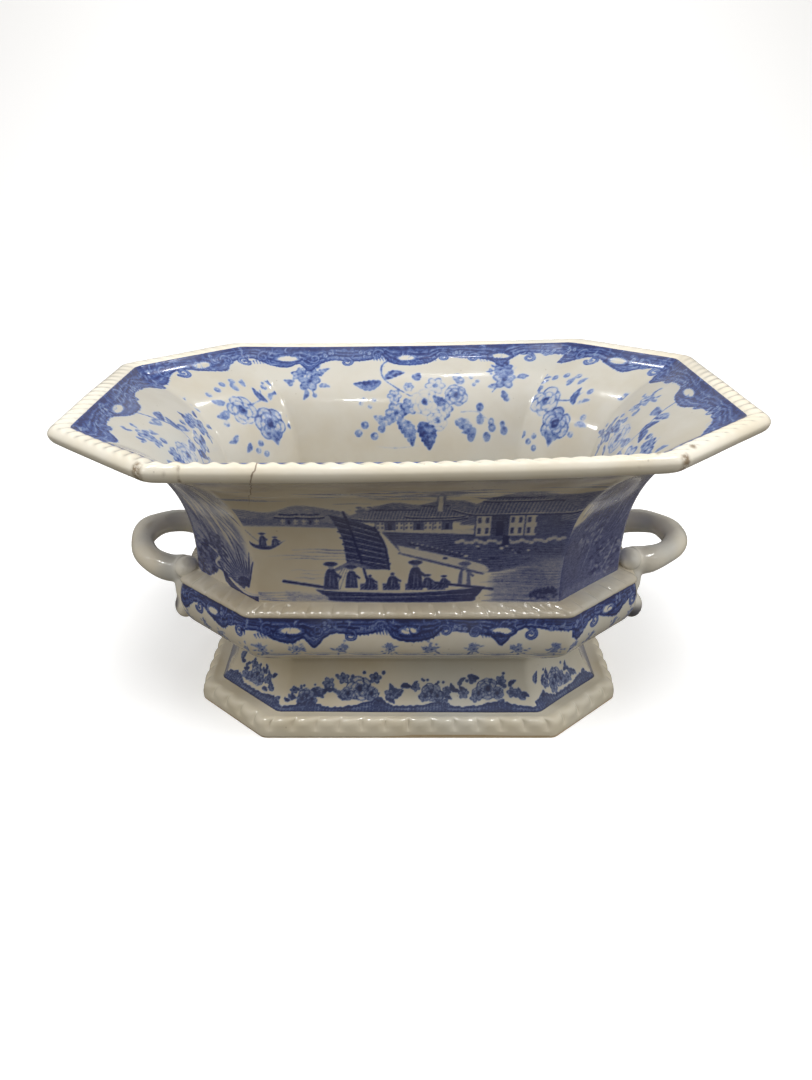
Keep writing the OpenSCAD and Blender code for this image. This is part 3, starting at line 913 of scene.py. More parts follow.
def inside_canvas(k):
    """The printing inside panel k; y = 0 is the line where the border starts, under the rim."""
    c = Canvas(-112, 112, -99, 4, seed=100 + k)
    if k % 4 == 0:
        great_spray(c)
        sprigs = ((-62, -30, 24, 120, 0.6), (-60, -22, 13, -90, 0.7), (62, -30, 24, 60, 0.6),
                  (60, -22, 13, -90, 0.7))
    elif k % 4 == 2:
        branch(c, 0, -44)
        sprigs = ((-30, -52, 22, 40, 0.6), (32, -44, 22, 120, 0.6), (-26, -26, 16, 250, 0.55))
    else:
        twin_roses(c, 4 if k in (1, 5) else -14, -46)
        sprigs = ((-34, -34, 14, 60, 0.55), (34, -36, 14, 100, 0.55))
    for place in sprigs:
        sprig(c, *place)
    c.mottle(0.22)
    c.soften(2)
    border(c, k, 0.74, 0.95, 1.22)
    c.mottle(0.1)
    return c


def outside_canvas(k):
    """The printing outside panel k; y = 0 is the top of the waist band."""
    c = Canvas(-112, 112, -2, 96, seed=200 + k)
    scene = {0: river_scene, 2: hall_scene}.get(k % 4, rock_scene if k in (1, 5) else sail_scene)
    scene(c)
    return c


def belly_canvas(k):
    """The printing on panel k of the belly; y = 0 is its top edge, under the waist band."""
    c = Canvas(-84, 84, -30, 4, seed=300 + k)
    half = {0: 74, 2: 40}.get(k % 4, 26)
    for x in np.arange(-half, half + 1, 17 if k % 4 else 21):
        sprig(c, x + c.rng.uniform(-3, 3), -18.5, 8, c.rng.uniform(-20, 200), 0.42)
    for x0 in np.arange(-half, half, 22):
        c.line(smooth((x0, -22.4), (x0 + 8, -23.3), (x0 + 20, -22.5)), 0.9, 0.5, taper=0.7)
        c.line(smooth((x0 + 3, -21.2), (x0 + 9, -21.9), (x0 + 16, -21.3)), 0.6, 0.35, taper=0.7)
    border(c, k, 0.8, 1.0, 1.0)
    return c


def foot_canvas(k):
    """Foot flare: y = 0 is the line above the foot band."""
    c = Canvas(-84, 84, -4, 34, seed=400 + k)
    posies, leaves = {
        0: (((-26, 13, 48, 20, 0.62), (42, 13, 38, 18, 0.62), (-54, 9, 20, 13, 0.7), (12, 11, 24, 15, 0.66)),
            ((-8, 8, 40, 7, 5, 0.85), (62, 7, 120, 8, 4, 0.85))),
        2: (((-16, 13, 26, 16, 0.55), (16, 12, 26, 16, 0.55)), ()),
    }.get(k % 4, (((-2, 11, 26, 16, 0.6),), ((14, 8, 140, 7, 4, 0.9), (-18, 14, 60, 7, 4, 0.8))))
    for place in posies:
        posy(c, *place)
    for place in leaves:
        leaf(c, *place, teeth=3)
    edge = smooth(*[(x, d) for x, d in FOOT_EDGE], n=8)
    edge[:, 1] += 0.3 * np.sin(edge[:, 0] * 1.7) + 0.25 * np.sin(edge[:, 0] * 3.3)
    c.fill(np.vstack([edge, [(84, -3), (-84, -3)]]), 0.78)
    c.line(edge, 0.8, 1.0)
    c.line(edge * [1, 0.6], 0.6, 0.45)
    for x in np.arange(-82, 82, 1.7):
        top = np.interp(x, edge[:, 0], edge[:, 1])
        c.line([(x, 0.9), (x + 0.5, top - 0.4)], 0.5, 0.45 if int(x * 7) % 3 else 0.95)
    for x in (-52, -17, 20, 50):
        scroll(c, x, 4.2, 2.6, 90, 1.6, 0.95)
        scroll(c, x, 4.2, 2.6, 90, 0.6, 0.4)
    c.line([(-84, 0.4), (84, 0.4)], 1.0, 1.0)
    return c


def printed(profile, paint, stretch, side=1):
    """Ink density at every point of a grid; stretch is negative where the print is laid from the top down."""
    v = stretch * run_of(profile)
    out = np.zeros((len(profile), COLUMNS))
    for k in range(8):
        on = np.nonzero(panel == k)[0]
        u = side * profile[:, None, 0] * u_ring[None, on]
        out[:, on] = paint(k).sample(u, np.repeat(v[:, None], len(on), 1))
    return out


# ---------------------------------------------------------------- materials
class Nodes:
    """A short way to write the node tree of a material or a world."""

    def __init__(self, owner):
        self.owner = owner
        owner.use_nodes = True
        self.tree = owner.node_tree
        self.tree.nodes.clear()

    def add(self, kind, inputs=None, **values):
        """A new node; its inputs are linked where they are sockets and set where they are constants."""
        node = self.tree.nodes.new(kind)
        for key, value in values.items():
            setattr(node, key, value)
        for key, value in (inputs or {}).items():
            if isinstance(value, bpy.types.NodeSocket):
                self.tree.links.new(value, node.inputs[key])
            else:
                node.inputs[key].default_value = value
        return node

    def math(self, op, *terms, clamp=False):
        return self.add("ShaderNodeMath", dict(enumerate(terms)), operation=op, use_clamp=clamp).outputs[0]

    def place(self, stretch=None):
        at = self.add("ShaderNodeTexCoord").outputs["Object"]
        if stretch:
            at = self.add("ShaderNodeMapping", {"Vector": at, "Scale": stretch}).outputs[0]
        return at

    def noise(self, scale, detail=3.0, rough=0.5, stretch=None):
        inputs = {"Vector": self.place(stretch), "Scale": scale, "Detail": detail, "Roughness": rough}
        return self.add("ShaderNodeTexNoise", inputs).outputs[0]

    def cells(self, scale):
        inputs = {"Vector": self.place(), "Scale": scale}
        return self.add("ShaderNodeTexVoronoi", inputs, feature="F1").outputs["Distance"]

    def step(self, value, low, high):
        inputs = {"Value": value, "From Min": low, "From Max": high}
        node = self.add("ShaderNodeMapRange", inputs, clamp=True, interpolation_type="SMOOTHSTEP")
        return node.outputs["Result"]

    def mix(self, share, a, b):
        return self.add("ShaderNodeMix", {"Factor": share, 6: a, 7: b}, data_type="RGBA").outputs[2]

    def attribute(self, name):
        return self.add("ShaderNodeAttribute", attribute_name=name).outputs["Fac"]

    def ramp(self, value, stops):
        node = self.add("ShaderNodeValToRGB", {0: value})
        band = node.color_ramp
        while len(band.elements) < len(stops):
            band.elements.new(0.5)
        for element, (at, colour) in zip(band.elements, stops):
            element.position = at
            element.color = colour
        return node.outputs[0]

    def shade(self, height, strength, distance, inputs):
        """The surface shader over a bump, wired to the output."""
        bump = self.add("ShaderNodeBump", {"Strength": strength, "Distance": distance, "Height": height})
        bsdf = self.add("ShaderNodeBsdfPrincipled", {"Normal": bump.outputs[0], **inputs})
        self.add("ShaderNodeOutputMaterial", {0: bsdf.outputs[0]})
        return self.owner


def srgb(r, g, b):
    """A colour from 0-255 screen values, as linear RGBA."""
    return tuple(((v / 255 + 0.055) / 1.055) ** 2.4 if v > 10 else v / 255 / 12.92 for v in (r, g,
                                                                                             b)) + (1.0,)


POOL = srgb(196, 204, 206)
# Brown of the iron specks and stains; also laid as painted shade under the rim's lip, and on the foot band's
# lowest edge.
STAIN_AND_SHADE_COLOUR = srgb(108, 80, 34)
# Lit and shaded copies of the one ivory glaze, a line each: a lighter copy, painted light, for the rim and
# handles; the plain ivory; a darker copy, painted shade, for the outside wall and waist; a darker copy,
# painted shade, for the inside; a darker copy, painted shade, for the pedestal; a copy for the foot band
# whose tone is painted light in place of light bounced up from the floor.
PAINTED_LIGHT_WARE = (srgb(244, 238, 223), srgb(236, 226, 204))
WARE_BODY = (srgb(226, 219, 203), srgb(216, 205, 182))
SHADED_WARE = (srgb(216, 207, 188), srgb(206, 193, 168))
INSIDE_PAINTED_SHADE_WARE = (srgb(203, 199, 188), srgb(195, 188, 172))
FOOT_PAINTED_SHADE_WARE = (srgb(202, 193, 173), srgb(192, 180, 154))
BAND_PAINTED_LIGHT_WARE = (srgb(222, 213, 192), srgb(212, 200, 173))


def hairline(n):
    """A fine crack that runs down the front of the rim on to the wall, left of the middle."""
    x, y, z = n.add("ShaderNodeSeparateXYZ", {0: n.place()}).outputs
    bent = n.math("MULTIPLY", n.math("SUBTRACT", n.noise(110, 3, 0.65), 0.5), 0.005)
    course = n.math("ADD", n.math("MULTIPLY_ADD", z, 0.36, -0.1226), bent)
    off = n.math("ABSOLUTE", n.math("SUBTRACT", x, course))
    thin = n.math("SUBTRACT", 1.0, n.step(off, 0.00012, 0.0005))
    front = n.math("LESS_THAN", y, -0.08)
    above = n.step(z, 0.132, 0.15)
    return n.math("MULTIPLY", n.math("MULTIPLY", thin, front), above)


def print_over(n, ground, inks, wash):
    """The cobalt print over the glaze's ground: density from the mesh, bleed and grain from noise."""
    ink = n.attribute("ink")
    grain = n.math("SUBTRACT", n.noise(1500, 2, 0.6), 0.5)
    streak = n.math("SUBTRACT", n.noise(420, 2, 0.6, (1, 1, 2.2)), 0.5)
    patch = n.math("SUBTRACT", n.noise(60, 3, 0.6), 0.5)
    shift = n.math("ADD", n.math("MULTIPLY", grain, 0.9), n.math("MULTIPLY", streak, 0.9))
    shift = n.math("ADD", shift, n.math("MULTIPLY", patch, 0.8))
    room = n.math("MULTIPLY", n.math("MULTIPLY", ink, n.math("SUBTRACT", 1.3, ink)), 4 * wash)
    density = n.math("ADD", ink, n.math("MULTIPLY", shift, room), clamp=True)
    cobalt = n.ramp(density, [(0.0, inks[0]), (0.32, inks[1]), (0.62, inks[2]), (0.96, inks[3])])
    colour = n.mix(n.math("MULTIPLY", density, 3.6, clamp=True), ground, cobalt)
    haze = n.math("MULTIPLY", n.step(n.noise(30, 3), 0.4, 0.75), 0.1)
    return n.mix(haze, colour, inks[0])


def glaze(name, ware, inks=None, stained=0.0, pooled=0.0, wash=0.3, cracked=False):
    """Clear glaze over the ware, printed, pooled or cracked, with real stains and painted shade mixed in from
    the mesh's field.
    """
    n = Nodes(bpy.data.materials.new(name))
    colour = n.mix(n.step(n.noise(22, 4, 0.6), 0.35, 0.7), *ware)
    colour = n.mix(n.math("MULTIPLY", n.step(n.noise(9, 2), 0.5, 0.7), 0.4), colour, POOL)
    specks = n.math("SUBTRACT", 1.0, n.step(n.cells(95), 0.02, 0.06))
    colour = n.mix(n.math("MULTIPLY", specks, 0.3), colour, STAIN_AND_SHADE_COLOUR)
    if pooled:
        blue = n.math("MULTIPLY", n.step(n.attribute("pool"), 0.05, 1.0), pooled)
        colour = n.mix(blue, colour, srgb(160, 172, 184))
        # Dark blue-grey marks: blue daubs, and on the right front root a painted shadow for the hollow under
        # its moulded tip.
        colour = n.mix(n.math("MULTIPLY", n.attribute("daub_and_shadow"), 0.9), colour, srgb(40, 46, 74))
    if inks:
        colour = print_over(n, colour, inks, wash)
    # Stains from the mesh's field, blotched by noise; under the rim's lip this field is painted shade.
    if stained:
        spots = n.step(n.noise(420, 3, 0.6), 0.25, 0.6)
        mark = n.math("MULTIPLY", n.step(n.attribute("stain"), 0.15, 0.75), spots)
        colour = n.mix(n.math("MULTIPLY", mark, stained), colour, STAIN_AND_SHADE_COLOUR)
    if cracked:
        colour = n.mix(n.math("MULTIPLY", hairline(n), 0.75), colour, srgb(96, 66, 38))
    rough = n.math("ADD", 0.12, n.math("MULTIPLY", n.noise(90, 3), 0.12))
    waves = n.math("ADD", n.noise(75, 2), n.math("MULTIPLY", n.noise(480, 2), 0.05))
    return n.shade(waves, 0.3, 0.0005, {"Base Color": colour, "Roughness": rough, "IOR": 1.5,
                                        "Coat Weight": 0.7, "Coat Roughness": 0.03})


def bare_clay(name):
    """Dry, slightly gritty fired clay."""
    n = Nodes(bpy.data.materials.new(name))
    colour = n.mix(n.noise(160, 5, 0.7), srgb(196, 178, 148), srgb(168, 146, 112))
    dirt = n.step(n.noise(60, 4, 0.7), 0.55, 0.75)
    colour = n.mix(n.math("MULTIPLY", dirt, 0.5), colour, srgb(116, 92, 64))
    rough = n.math("ADD", 0.7, n.math("MULTIPLY", n.noise(300, 3), 0.2))
    return n.shade(n.noise(1200, 4, 0.7), 0.5, 0.0003, {"Base Color": colour, "Roughness": rough})


BRIGHT_INKS = [srgb(190, 198, 210), srgb(124, 143, 182), srgb(63, 87, 148), srgb(26, 40, 102)]
WALL_INKS = [srgb(196, 194, 196), srgb(146, 148, 168), srgb(92, 100, 142), srgb(36, 44, 98)]
FOOT_INKS = [srgb(176, 180, 186), srgb(106, 118, 150), srgb(46, 62, 108), srgb(16, 28, 74)]
DEEP_INKS = [srgb(190, 196, 206), srgb(122, 136, 176), srgb(56, 76, 140), srgb(20, 32, 88)]

# The rim and handles take the painted-light ivory; the outside wall, waist, inside and pedestal take
# painted-shade ivories; the foot band's ivory is painted light.
plain_glaze = glaze("ivory_glaze", WARE_BODY)
rim_glaze = glaze("rim_glaze", PAINTED_LIGHT_WARE, stained=0.85, cracked=True)
inside_glaze = glaze("printed_inside", INSIDE_PAINTED_SHADE_WARE, BRIGHT_INKS)
wall_glaze = glaze("printed_wall", SHADED_WARE, WALL_INKS, wash=0.34, cracked=True)
belly_glaze = glaze("printed_belly", WARE_BODY, DEEP_INKS)
foot_glaze = glaze("printed_foot", FOOT_PAINTED_SHADE_WARE, FOOT_INKS, wash=0.34)
waist_glaze = glaze("waist_glaze", SHADED_WARE)
band_glaze = glaze("band_glaze", BAND_PAINTED_LIGHT_WARE, stained=0.8)
handle_glaze = glaze("handle_glaze", PAINTED_LIGHT_WARE, pooled=0.55)
clay = bare_clay("bare_clay")


# ---------------------------------------------------------------- ware
COLUMNS = 1360
xy, panel, u_ring, along, perimeter = ring(COLUMNS)


def lobes(count, phase=0.0, sharp=0.6, slant=None):
    """Rounded ribs round the perimeter: 1 on a rib, 0 in a groove."""
    angle = pi * count * along / perimeter + phase
    angle = angle[None, :] + (0 if slant is None else slant[:, None])
    return np.abs(np.sin(angle)) ** sharp


def hump(x, low, high):
    """A smooth rise and fall between two places along a profile."""
    t = np.clip((x - low) / (high - low), 0, 1)
    return np.sin(pi * t) ** 1.2


def push(p, height):
    return p + normals(p) * height[..., None]


def add_back(p, profile):
    """Rows of the hidden side, so that the piece is closed."""
    return np.concatenate([p, surface(np.array(profile, dtype=float), xy)])


def behind(profile, depth, n=9):
    """A profile running back along the hidden side, depth mm behind the visible one."""
    flat = profile * [(RIM_A + RIM_B) / 2, 1]
    d = np.gradient(flat, axis=0)
    d /= np.linalg.norm(d, axis=1, keepdims=True)
    back = flat - depth * np.stack([d[:, 1], -d[:, 0]], 1)
    pick = np.linspace(0, len(back) - 1, n).round().astype(int)[::-1]
    return back[pick] / [(RIM_A + RIM_B) / 2, 1]


def pad_field(values, rows):
    return np.concatenate([values, np.zeros((rows, values.shape[1]))])


def make_rim():
    lip = chain(bez([[0.957, RIM_Z], [0.984, RIM_Z - 0.2], [0.996, RIM_Z + 1.8], [0.9985, RIM_Z + 5]], 14),
                bez([[0.9985, RIM_Z + 5], [0.999, RIM_TOP - 4.0], [0.991, RIM_TOP - 1.6],
                     [0.976, RIM_TOP - 0.9]], 14),
                bez([[0.976, RIM_TOP - 0.9], [0.967, RIM_TOP - 0.7], [0.95, RIM_TOP - 0.9],
                     [BORDER, RIM_TOP - 2.8]], 14))
    lip = even(lip, 0.6)
    run = run_of(lip)
    p = surface(lip, xy)
    rope = hump(run, run[-1] - 8.6, run[-1] + 0.4)
    ribs = lobes(122, slant=(run - run[-1]) * 0.26, sharp=2.0)
    far = np.clip((p[..., 1] + 20) / 50, 0, 1)
    p = push(p, rope[:, None] * (1.1 * ribs * (1 - 0.8 * far) - 1.0 + 0.5 * far) + wobble(p, 1.0, 0.14))
    stain = np.zeros(p.shape[:2])
    for x, y, r, amount in ((-115, -118, 3.4, 0.8), (-103, -121, 1.6, 0.6), (-97, -119, 1.2, 0.6),
                            (115, -118, 3.2, 0.75), (120, -109, 2.0, 0.7), (104, -115, 1.8, 0.7),
                            (95, -121, 1.4, 0.6), (128, -101, 1.5, 0.5), (36, -114, 1.2, 0.5),
                            (48, -116, 1.0, 0.5), (-152, -78, 2.0, 0.4), (-30, 119, 4, 0.4)):
        d = np.hypot(p[..., 0] - x, p[..., 1] - y)
        stain = np.maximum(stain, amount * np.exp(-(d / r) ** 2))
    # Painted shade: the lower part of the rim's face is darkened towards the brown of the stains, standing in
    # for the shade under the rolled lip, in the same field as the real stains above.
    under = hump(run, -4, 7)[:, None] * (0.2 + 0.1 * np.sin(along / 17)[None, :])
    stain = np.maximum(stain, under)
    p = add_back(p, [[BORDER - 0.012, RIM_TOP - 5], [0.935, RIM_Z + 1.5]])
    rim = grid_mesh("rim", p, rim_glaze, stain=pad_field(stain, 2))
    return claim(rim, "ivory_glaze", "rim_band")


def make_wall_outside():
    profile = even(bez([[WALL_LOW, WAIST_TOP - 2.0], [WALL_LOW, WAIST_TOP + 31], [0.668, RIM_Z - 15],
                        [0.957, RIM_Z + 0.2]], 60), 0.6)
    p = surface(profile, xy)
    ink = printed(profile, outside_canvas, 1.075)
    p = push(p, wobble(p, 2.0, 0.2))
    back = behind(profile, 2.4)
    p = add_back(p, back)
    wall = grid_mesh("wall_outside", p, wall_glaze, ink=pad_field(ink, len(back)))
    return claim(wall, "printed_wall", "bowl_wall")


def make_wall_inside():
    low = WALL_LOW - WARE
    profile = chain(bez([[BORDER, RIM_TOP - 2.4], [0.92, RIM_TOP - 5], [0.905, RIM_Z + 1.5], [0.885, RIM_Z]],
                        20),
                    bez([[0.885, RIM_Z], [0.71, RIM_Z - 12], [low, RIM_Z - 31], [low - 0.01, WAIST_TOP]],
                        50))
    profile = even(profile, 0.62)
    p = surface(profile, xy)
    ink = printed(profile, inside_canvas, -0.96, side=-1)
    p = push(p, wobble(p, 3.0, 0.2))
    back = behind(profile, 2.0)
    p = add_back(p, back)
    wall = grid_mesh("wall_inside", p, inside_glaze, ink=pad_field(ink, len(back)))
    return claim(wall, "printed_border", "bowl_wall")


def make_waist():
    full = span("waist_band")[1][0] / RIM_A
    profile = even(bez([[0.697, WAIST_Z - 0.3], [full + 0.009, WAIST_Z + 0.8],
                        [full + 0.009, WAIST_TOP - 2.8], [WALL_LOW - 0.004, WAIST_TOP - 1.2]], 30), 0.6)
    run = run_of(profile)
    p = surface(profile, xy)
    flutes = hump(run, 0.2, run[-1] - 0.4)
    ribs = lobes(57, slant=(run - run.mean()) * 0.05, sharp=0.5)
    fine = lobes(114, slant=(run - run.mean()) * 0.1, sharp=0.6)
    p = push(p, flutes[:, None] * (1.1 * ribs + 0.35 * fine - 1.3) + wobble(p, 4.0, 0.15))
    p = add_back(p, [[0.64, WAIST_TOP - 1.7], [0.66, WAIST_Z + 0.5]])
    band = grid_mesh("waist", p, waist_glaze)
    return claim(band, "ivory_glaze", "waist_band")


def make_belly():
    profile = chain(bez([[0.697, WAIST_Z + 0.6], [0.716, WAIST_Z - 8], [0.712, BELLY_Z + 3],
                         [0.682, FLOOR_TOP + 2.2]], 24),
                    bez([[0.682, FLOOR_TOP + 2.2], [0.672, FLOOR_TOP + 0.4], [0.655, FLOOR_TOP - 1],
                         [0.63, FLOOR_TOP - 3]], 12))
    profile = even(profile, 0.6)
    p = surface(profile, xy)[::-1]
    ink = printed(profile, belly_canvas, -1.0)[::-1]
    p = push(p, wobble(p, 5.0, 0.2))
    back = [[0.66, WAIST_Z + 0.5], [0.655, BELLY_Z], [0.62, FLOOR_TOP - 2]]
    p = add_back(p, back)
    belly = grid_mesh("belly_print", p, belly_glaze, ink=pad_field(ink, len(back)))
    return claim(belly, "printed_border", "belly")


def make_basin():
    low = WALL_LOW - WARE
    inner = chain(bez([[low - 0.008, WAIST_TOP + 1], [low, BELLY_Z + 12], [0.622, FLOOR_TOP + 2],
                       [0.54, FLOOR_TOP]], 24),
                  bez([[0.54, FLOOR_TOP], [0.49, FLOOR_TOP - 0.8], [0.4, FLOOR_TOP - 1],
                       [0.03, FLOOR_TOP - 1]], 14))
    outer = chain(bez([[0.03, SLIP_TOP + 0.4], [0.3, SLIP_TOP + 0.4], [0.5, SLIP_TOP + 0.2],
                       [NECK + 0.01, SLIP_TOP + 0.2]], 8),
                  bez([[NECK + 0.01, SLIP_TOP + 0.2], [0.60, SLIP_TOP + 1], [0.64, FLOOR_TOP - 3],
                       [0.655, FLOOR_TOP - 0.6]], 10),
                  np.array([[0.66, BELLY_Z], [0.655, WAIST_Z], [low + 0.012, WAIST_TOP + 1]]))
    p = surface(np.concatenate([outer, inner]), xy[::2])
    basin = grid_mesh("basin", p, plain_glaze, closed=False)
    return claim(basin, "ivory_glaze", "bowl_floor")


def make_slip():
    bead = bez([[NECK, SLIP_Z - 0.4], [NECK + 0.012, SLIP_Z + 0.1], [NECK + 0.014, SLIP_TOP - 0.2],
                [NECK + 0.004, SLIP_TOP + 0.4]], 8)
    p = surface(bead, xy[::2])
    p = p + normals(p) * (0.25 * np.sin(along[::2] / 6.1) * np.sin(along[::2] / 2.7))[None, :, None]
    inner = surface(np.array([[NECK - 0.03, SLIP_TOP + 0.3], [NECK - 0.03, SLIP_Z - 0.3]]), xy[::2])
    slip = grid_mesh("slip_bead", np.concatenate([p, inner]), plain_glaze)
    return claim(slip, "bare_clay", "slip_joint")


def make_foot():
    profile = even(bez([[0.612, FOOT_Z - 0.2], [0.575, FOOT_Z + 6], [NECK, FOOT_Z + 14], [NECK, SLIP_Z]],
                       30), 0.65)
    p = surface(profile, xy)
    ink = printed(profile, foot_canvas, 1.0)
    p = push(p, wobble(p, 6.0, 0.2))
    inner = bez([[NECK - 1.1 * WARE, SLIP_Z], [NECK - 1.1 * WARE, FOOT_Z + 14], [0.535, FOOT_Z + 6],
                 [0.562, FOOT_Z]], 10)
    p = add_back(p, inner)
    foot = grid_mesh("pedestal", p, foot_glaze, ink=pad_field(ink, len(inner)))
    return claim(foot, "printed_foot", "foot")


def make_foot_band():
    profile = chain(bez([[FOOT_SIZE - 0.001, 0.3], [FOOT_SIZE + 0.001, 1.2], [FOOT_SIZE + 0.0005, 4],
                         [FOOT_SIZE - 0.001, 6]], 12),
                    bez([[FOOT_SIZE - 0.001, 6], [FOOT_SIZE - 0.002, FOOT_Z - 1],
                         [FOOT_SIZE - 0.016, FOOT_Z + 0.3], [0.64, FOOT_Z + 0.1]], 14),
                    bez([[0.64, FOOT_Z + 0.1], [0.63, FOOT_Z - 0.1], [0.62, FOOT_Z - 0.1], [0.611, FOOT_Z]],
                        8))
    profile = even(profile, 0.6)
    run = run_of(profile)
    p = surface(profile, xy)
    eggs = hump(run, 3.4, 13.4)
    ribs = lobes(57, sharp=0.5)
    p = push(p, eggs[:, None] * (2.1 * ribs - 1.9) + wobble(p, 7.0, 0.12))
    inner = [[0.562, FOOT_Z], [FOOT_SIZE - 1.2 * WARE, FOOT_LOW], [FOOT_SIZE - 0.004, FOOT_LOW],
             [FOOT_SIZE - 0.003, 0.3]]
    p = add_back(p, inner)
    # Darker towards the bottom: the lowest two millimetres of the foot band are tinted towards the brown of
    # the stains.
    low_edge_tint = 0.5 * hump(run, -3, 2)[:, None] * np.ones((1, COLUMNS))
    band = grid_mesh("foot_moulding", p, band_glaze, stain=pad_field(low_edge_tint, len(inner)))
    return claim(band, "ivory_glaze", "foot_band")


# ---------------------------------------------------------------- handles
def ball(x, y, z, rx, ry, rz, n=16):
    """Vertices and faces of an ellipsoid."""
    verts, faces = [], []
    for i in range(n + 1):
        t = pi * i / n
        for j in range(2 * n):
            a = pi * j / n
            verts.append((x + rx * sin(t) * cos(a), y + ry * sin(t) * sin(a), z + rz * cos(t)))
    for i in range(n):
        for j in range(2 * n):
            k = (j + 1) % (2 * n)
            faces.append((i * 2 * n + j, (i + 1) * 2 * n + j, (i + 1) * 2 * n + k, i * 2 * n + k))
    return verts, faces


def tube(points, radii, sides=24):
    """Vertices and faces of a closed tube along a path."""
    verts, faces = [], []
    pts = [Vector(p) for p in points]
    for i, p in enumerate(pts):
        d = (pts[min(i + 1, len(pts) - 1)] - pts[max(i - 1, 0)]).normalized()
        side = d.cross(Vector((0, 0, 1))).normalized()
        up = side.cross(d)
        for k in range(sides):
            a = 2 * pi * k / sides
            verts.append(tuple(p + radii[i] * (cos(a) * side + sin(a) * up)))
    for i in range(len(pts) - 1):
        for k in range(sides):
            q = (k + 1) % sides
            faces.append((i * sides + k, i * sides + q, (i + 1) * sides + q, (i + 1) * sides + k))
    faces.append(tuple(range(sides))[::-1])
    faces.append(tuple((len(pts) - 1) * sides + k for k in range(sides)))
    return verts, faces


def skinned(name, parts):
    """One smooth skin round overlapping closed parts, each given as its vertices and faces."""
    verts, faces = [], []
    for v, f in parts:
        faces += [tuple(i + len(verts) for i in face) for face in f]
        verts += v
    mesh = bpy.data.meshes.new(name)
    mesh.from_pydata([tuple(c * MM for c in v) for v in verts], [], faces)
    obj = add_object(name, mesh)
    skin = obj.modifiers.new("skin", "REMESH")
    skin.mode, skin.voxel_size = "VOXEL", 0.0008
    soften = obj.modifiers.new("soften", "SMOOTH")
    soften.iterations, soften.factor = 24, 0.5
    done = bpy.data.meshes.new_from_object(obj.evaluated_get(bpy.context.evaluated_depsgraph_get()))
    obj.modifiers.clear()
    obj.data = done
    bpy.data.meshes.remove(mesh)
    return obj


def make_handle(name, side, nodes, seed, near_in, near_up, daub_and_shadow):
    """A twig-like loop with moulded lobes at both roots, blended into one skin."""
    low, high = span(nodes[0])
    root = min(abs(low[0]), abs(high[0]))
    reach = max(abs(low[0]), abs(high[0])) - root - 7.0
    half, z0 = high[1] - 7.0, low[2] + 7.2
    pts, radii = [], []
    for t in np.linspace(-1, 1, 61).tolist():
        c, s = cos(pi / 2 * t), sin(pi / 2 * t)
        near = max(-s, 0)
        knot = 0.5 * sin(5 * t + seed) + 0.25 * sin(9 * t + 2 * seed)
        x = root + (reach + 0.4 * knot) * c - 8 * (abs(t) > 0.985)
        pts.append((side * x, (half - near_in * near) * s, z0 + 6.0 * c + near_up * near + 0.4 * knot * c))
        radii.append(float(6.7 * (1 + 0.04 * sin(7 * t + seed) + 0.03 * sin(12 * t) + 0.1 * t ** 6)))
    parts = [tube(pts, radii)]
    for m in (-1, 1):
        x, y, z = side * root, m * half, z0
        if m < 0:
            y, z = y + near_in, z0 + near_up
        parts += [ball(x - side * 5, y, z, 7.5, 8.4, 7.8),
                  ball(x - side * 7, y + m * 4, z - 9, 5.6, 6.8, 9.5),
                  ball(x - side * 7, m * (half + 7), BELLY_Z + 3.4, 6.0, 7.6, 7.2),
                  ball(x - side * 9, y + m * 5, z + 3.5, 6.5, 8, 6),
                  ball(x - side * 7, y - m * 4, z - 8, 4.5, 4.5, 5.5),
                  ball(x - side * 2, y, z, 6.5, 7.0, 7.0)]
    obj = skinned(name, parts)
    done = obj.data
    co = np.empty(len(done.vertices) * 3, dtype=np.float32)
    done.vertices.foreach_get("co", co)
    co = co.reshape(-1, 3).astype(float) / MM
    pool = 0.5 + 0.5 * np.sin(co[:, 1] / 6.5 + seed) * np.sin(co[:, 0] / 5.0 + 2) - 0.25 * np.sin(co[:,
                                                                                                     2] / 3)
    pool = np.clip(pool, 0, 1) * np.clip(1 - np.abs(co[:, 2] - z0 - 3) / 16, 0, 1)
    mark = np.zeros(len(co))
    # Dark marks at the roots: the given one and a small one at the back; the right handle's given mark is
    # painted shadow for the hollow under its moulded tip, the others are blue daubs.
    for x, y, z, r in (daub_and_shadow, (side * 122, 43, 58, 3.0)):
        mark = np.maximum(mark, np.exp(-(np.linalg.norm(co - [x, y, z], axis=1) / r) ** 4))
    put_field(done, "pool", pool)
    put_field(done, "daub_and_shadow", mark)
    done.shade_smooth()
    done.materials.clear()
    done.materials.append(handle_glaze)
    return claim(obj, "handle_glaze", *nodes)


make_rim()
make_wall_outside()
make_wall_inside()
make_waist()
make_belly()
make_basin()
make_slip()
make_foot()
make_foot_band()
make_handle("loop_left", -1, ["handle_left", "left_front_terminal", "left_back_terminal"], 0.4, 0.0, 0.0,
            (-126, -42, 60, 4.0))
# The right handle's mark at its front root is painted shadow for the hollow under the moulded tip.
make_handle("loop_right", 1, ["handle_right", "right_front_terminal", "right_back_terminal"], 2.1, 4.0, 3.0,
            (122, -44, 54, 6.5))
foot_ring = bpy.data.objects["foot_ring"]
foot_ring.data.materials.clear()
foot_ring.data.materials.append(clay)


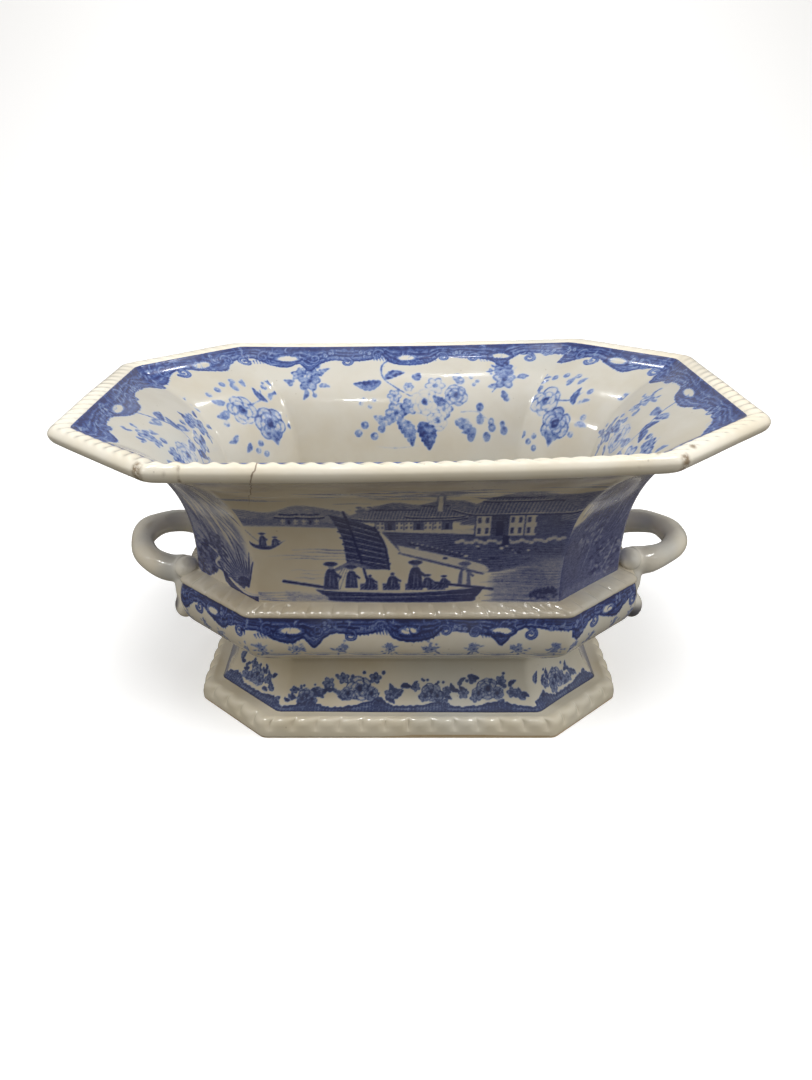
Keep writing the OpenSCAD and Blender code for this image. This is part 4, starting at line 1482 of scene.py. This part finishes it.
# ---------------------------------------------------------------- stage, light and camera
def make_stage():
    """A white sweep: floor, curve and wall in one."""
    mesh = bpy.data.meshes.new("sweep")
    line = [(-4.0, 0.0), (2.2, 0.0)]
    line += [(2.2 + 1.0 * sin(a), 1.0 - 1.0 * cos(a)) for a in np.linspace(0, pi / 2, 14)[1:]]
    line += [(3.2, 4.0)]
    verts = [(x, y, z) for y, z in line for x in (-5.0, 5.0)]
    faces = [(2 * k, 2 * k + 1, 2 * k + 3, 2 * k + 2) for k in range(len(line) - 1)]
    mesh.from_pydata(verts, [], faces)
    mesh.shade_smooth()
    n = Nodes(bpy.data.materials.new("sweep_white"))
    white = {"Base Color": (0.93, 0.93, 0.93, 1), "Roughness": 0.7,
             "Emission Color": (1, 1, 1, 1), "Emission Strength": 0.34}
    bsdf = n.add("ShaderNodeBsdfPrincipled", white)
    n.add("ShaderNodeOutputMaterial", {0: bsdf.outputs[0]})
    mesh.materials.append(n.owner)
    sweep = add_object("sweep", mesh)
    sweep.visible_diffuse = False
    sweep.visible_glossy = False


def make_world():
    """Soft room light: pale above, dim and warm below."""
    n = Nodes(bpy.data.worlds.new("studio"))
    axes = n.add("ShaderNodeSeparateXYZ", {0: n.add("ShaderNodeTexCoord").outputs["Generated"]})
    height = {"Value": axes.outputs["Z"], "From Min": -0.4, "From Max": 0.7, "To Min": 0.135, "To Max": 0.5}
    power = n.add("ShaderNodeMapRange", height).outputs["Result"]
    tint = n.ramp(power, [(0.14, (1, 0.9, 0.72, 1)), (0.42, (1, 0.99, 0.97, 1))])
    background = n.add("ShaderNodeBackground", {0: tint, 1: power})
    n.add("ShaderNodeOutputWorld", {0: background.outputs[0]})
    bpy.context.scene.world = n.owner


def area(name, place, size, power, target=(0, 0, 0.1), shiny=True, lit=True):
    """A round lamp; shiny lamps show in reflections and lit ones light the ware."""
    light = bpy.data.lights.new(name, "AREA")
    light.shape, light.size, light.energy = "DISK", size, power
    obj = add_object(name, light)
    obj.location = place
    obj.visible_glossy = shiny
    obj.visible_diffuse = lit
    obj.rotation_euler = (Vector(target) - Vector(place)).to_track_quat("-Z", "Y").to_euler()


def make_camera():
    """The photo's viewing angle."""
    camera = bpy.data.cameras.new("camera")
    camera.sensor_width, camera.lens = 36.0, 30.0
    camera.shift_x = -0.0021
    camera.clip_start = 0.01
    obj = add_object("camera", camera)
    obj.location = (-0.0002, -0.4705, 0.2899)
    obj.rotation_euler = (radians(90 - 24.25), 0, 0)
    bpy.context.scene.camera = obj


make_stage()
make_world()
area("softbox_top", (0.0, -0.48, 1.85), 0.95, 19, shiny=False)
area("softbox_left", (-1.5, -0.35, 0.55), 0.6, 3.2, (0, 0, 0.08), shiny=False)
area("softbox_right", (1.5, -0.35, 0.6), 0.6, 7.0, (0, 0, 0.08), shiny=False)
area("softbox_back", (0.0, 1.6, 1.8), 1.6, 20, (0, 3.2, 0.9), shiny=False)
LAMPS = ((-0.7, -0.5, 1.2), (0.62, -0.6, 1.25), (-0.1, -1.1, 1.3), (-0.45, 0.35, 1.3), (0.5, 0.3, 1.3),
         (0.1, -0.1, 1.5), (-0.8, -1.0, 0.75), (0.85, -0.95, 0.8), (-1.2, -0.2, 0.9), (1.25, 0.0, 0.95))
for k, place in enumerate(LAMPS):
    area(f"lamp_{k}", place, 0.07, 0.5)
area("window_left", (-0.55, -0.75, 1.4), 0.24, 6.0, lit=False)
area("window_right", (0.5, -0.8, 1.35), 0.2, 4.5, lit=False)
bpy.context.scene.view_settings.view_transform = "Standard"
make_camera()
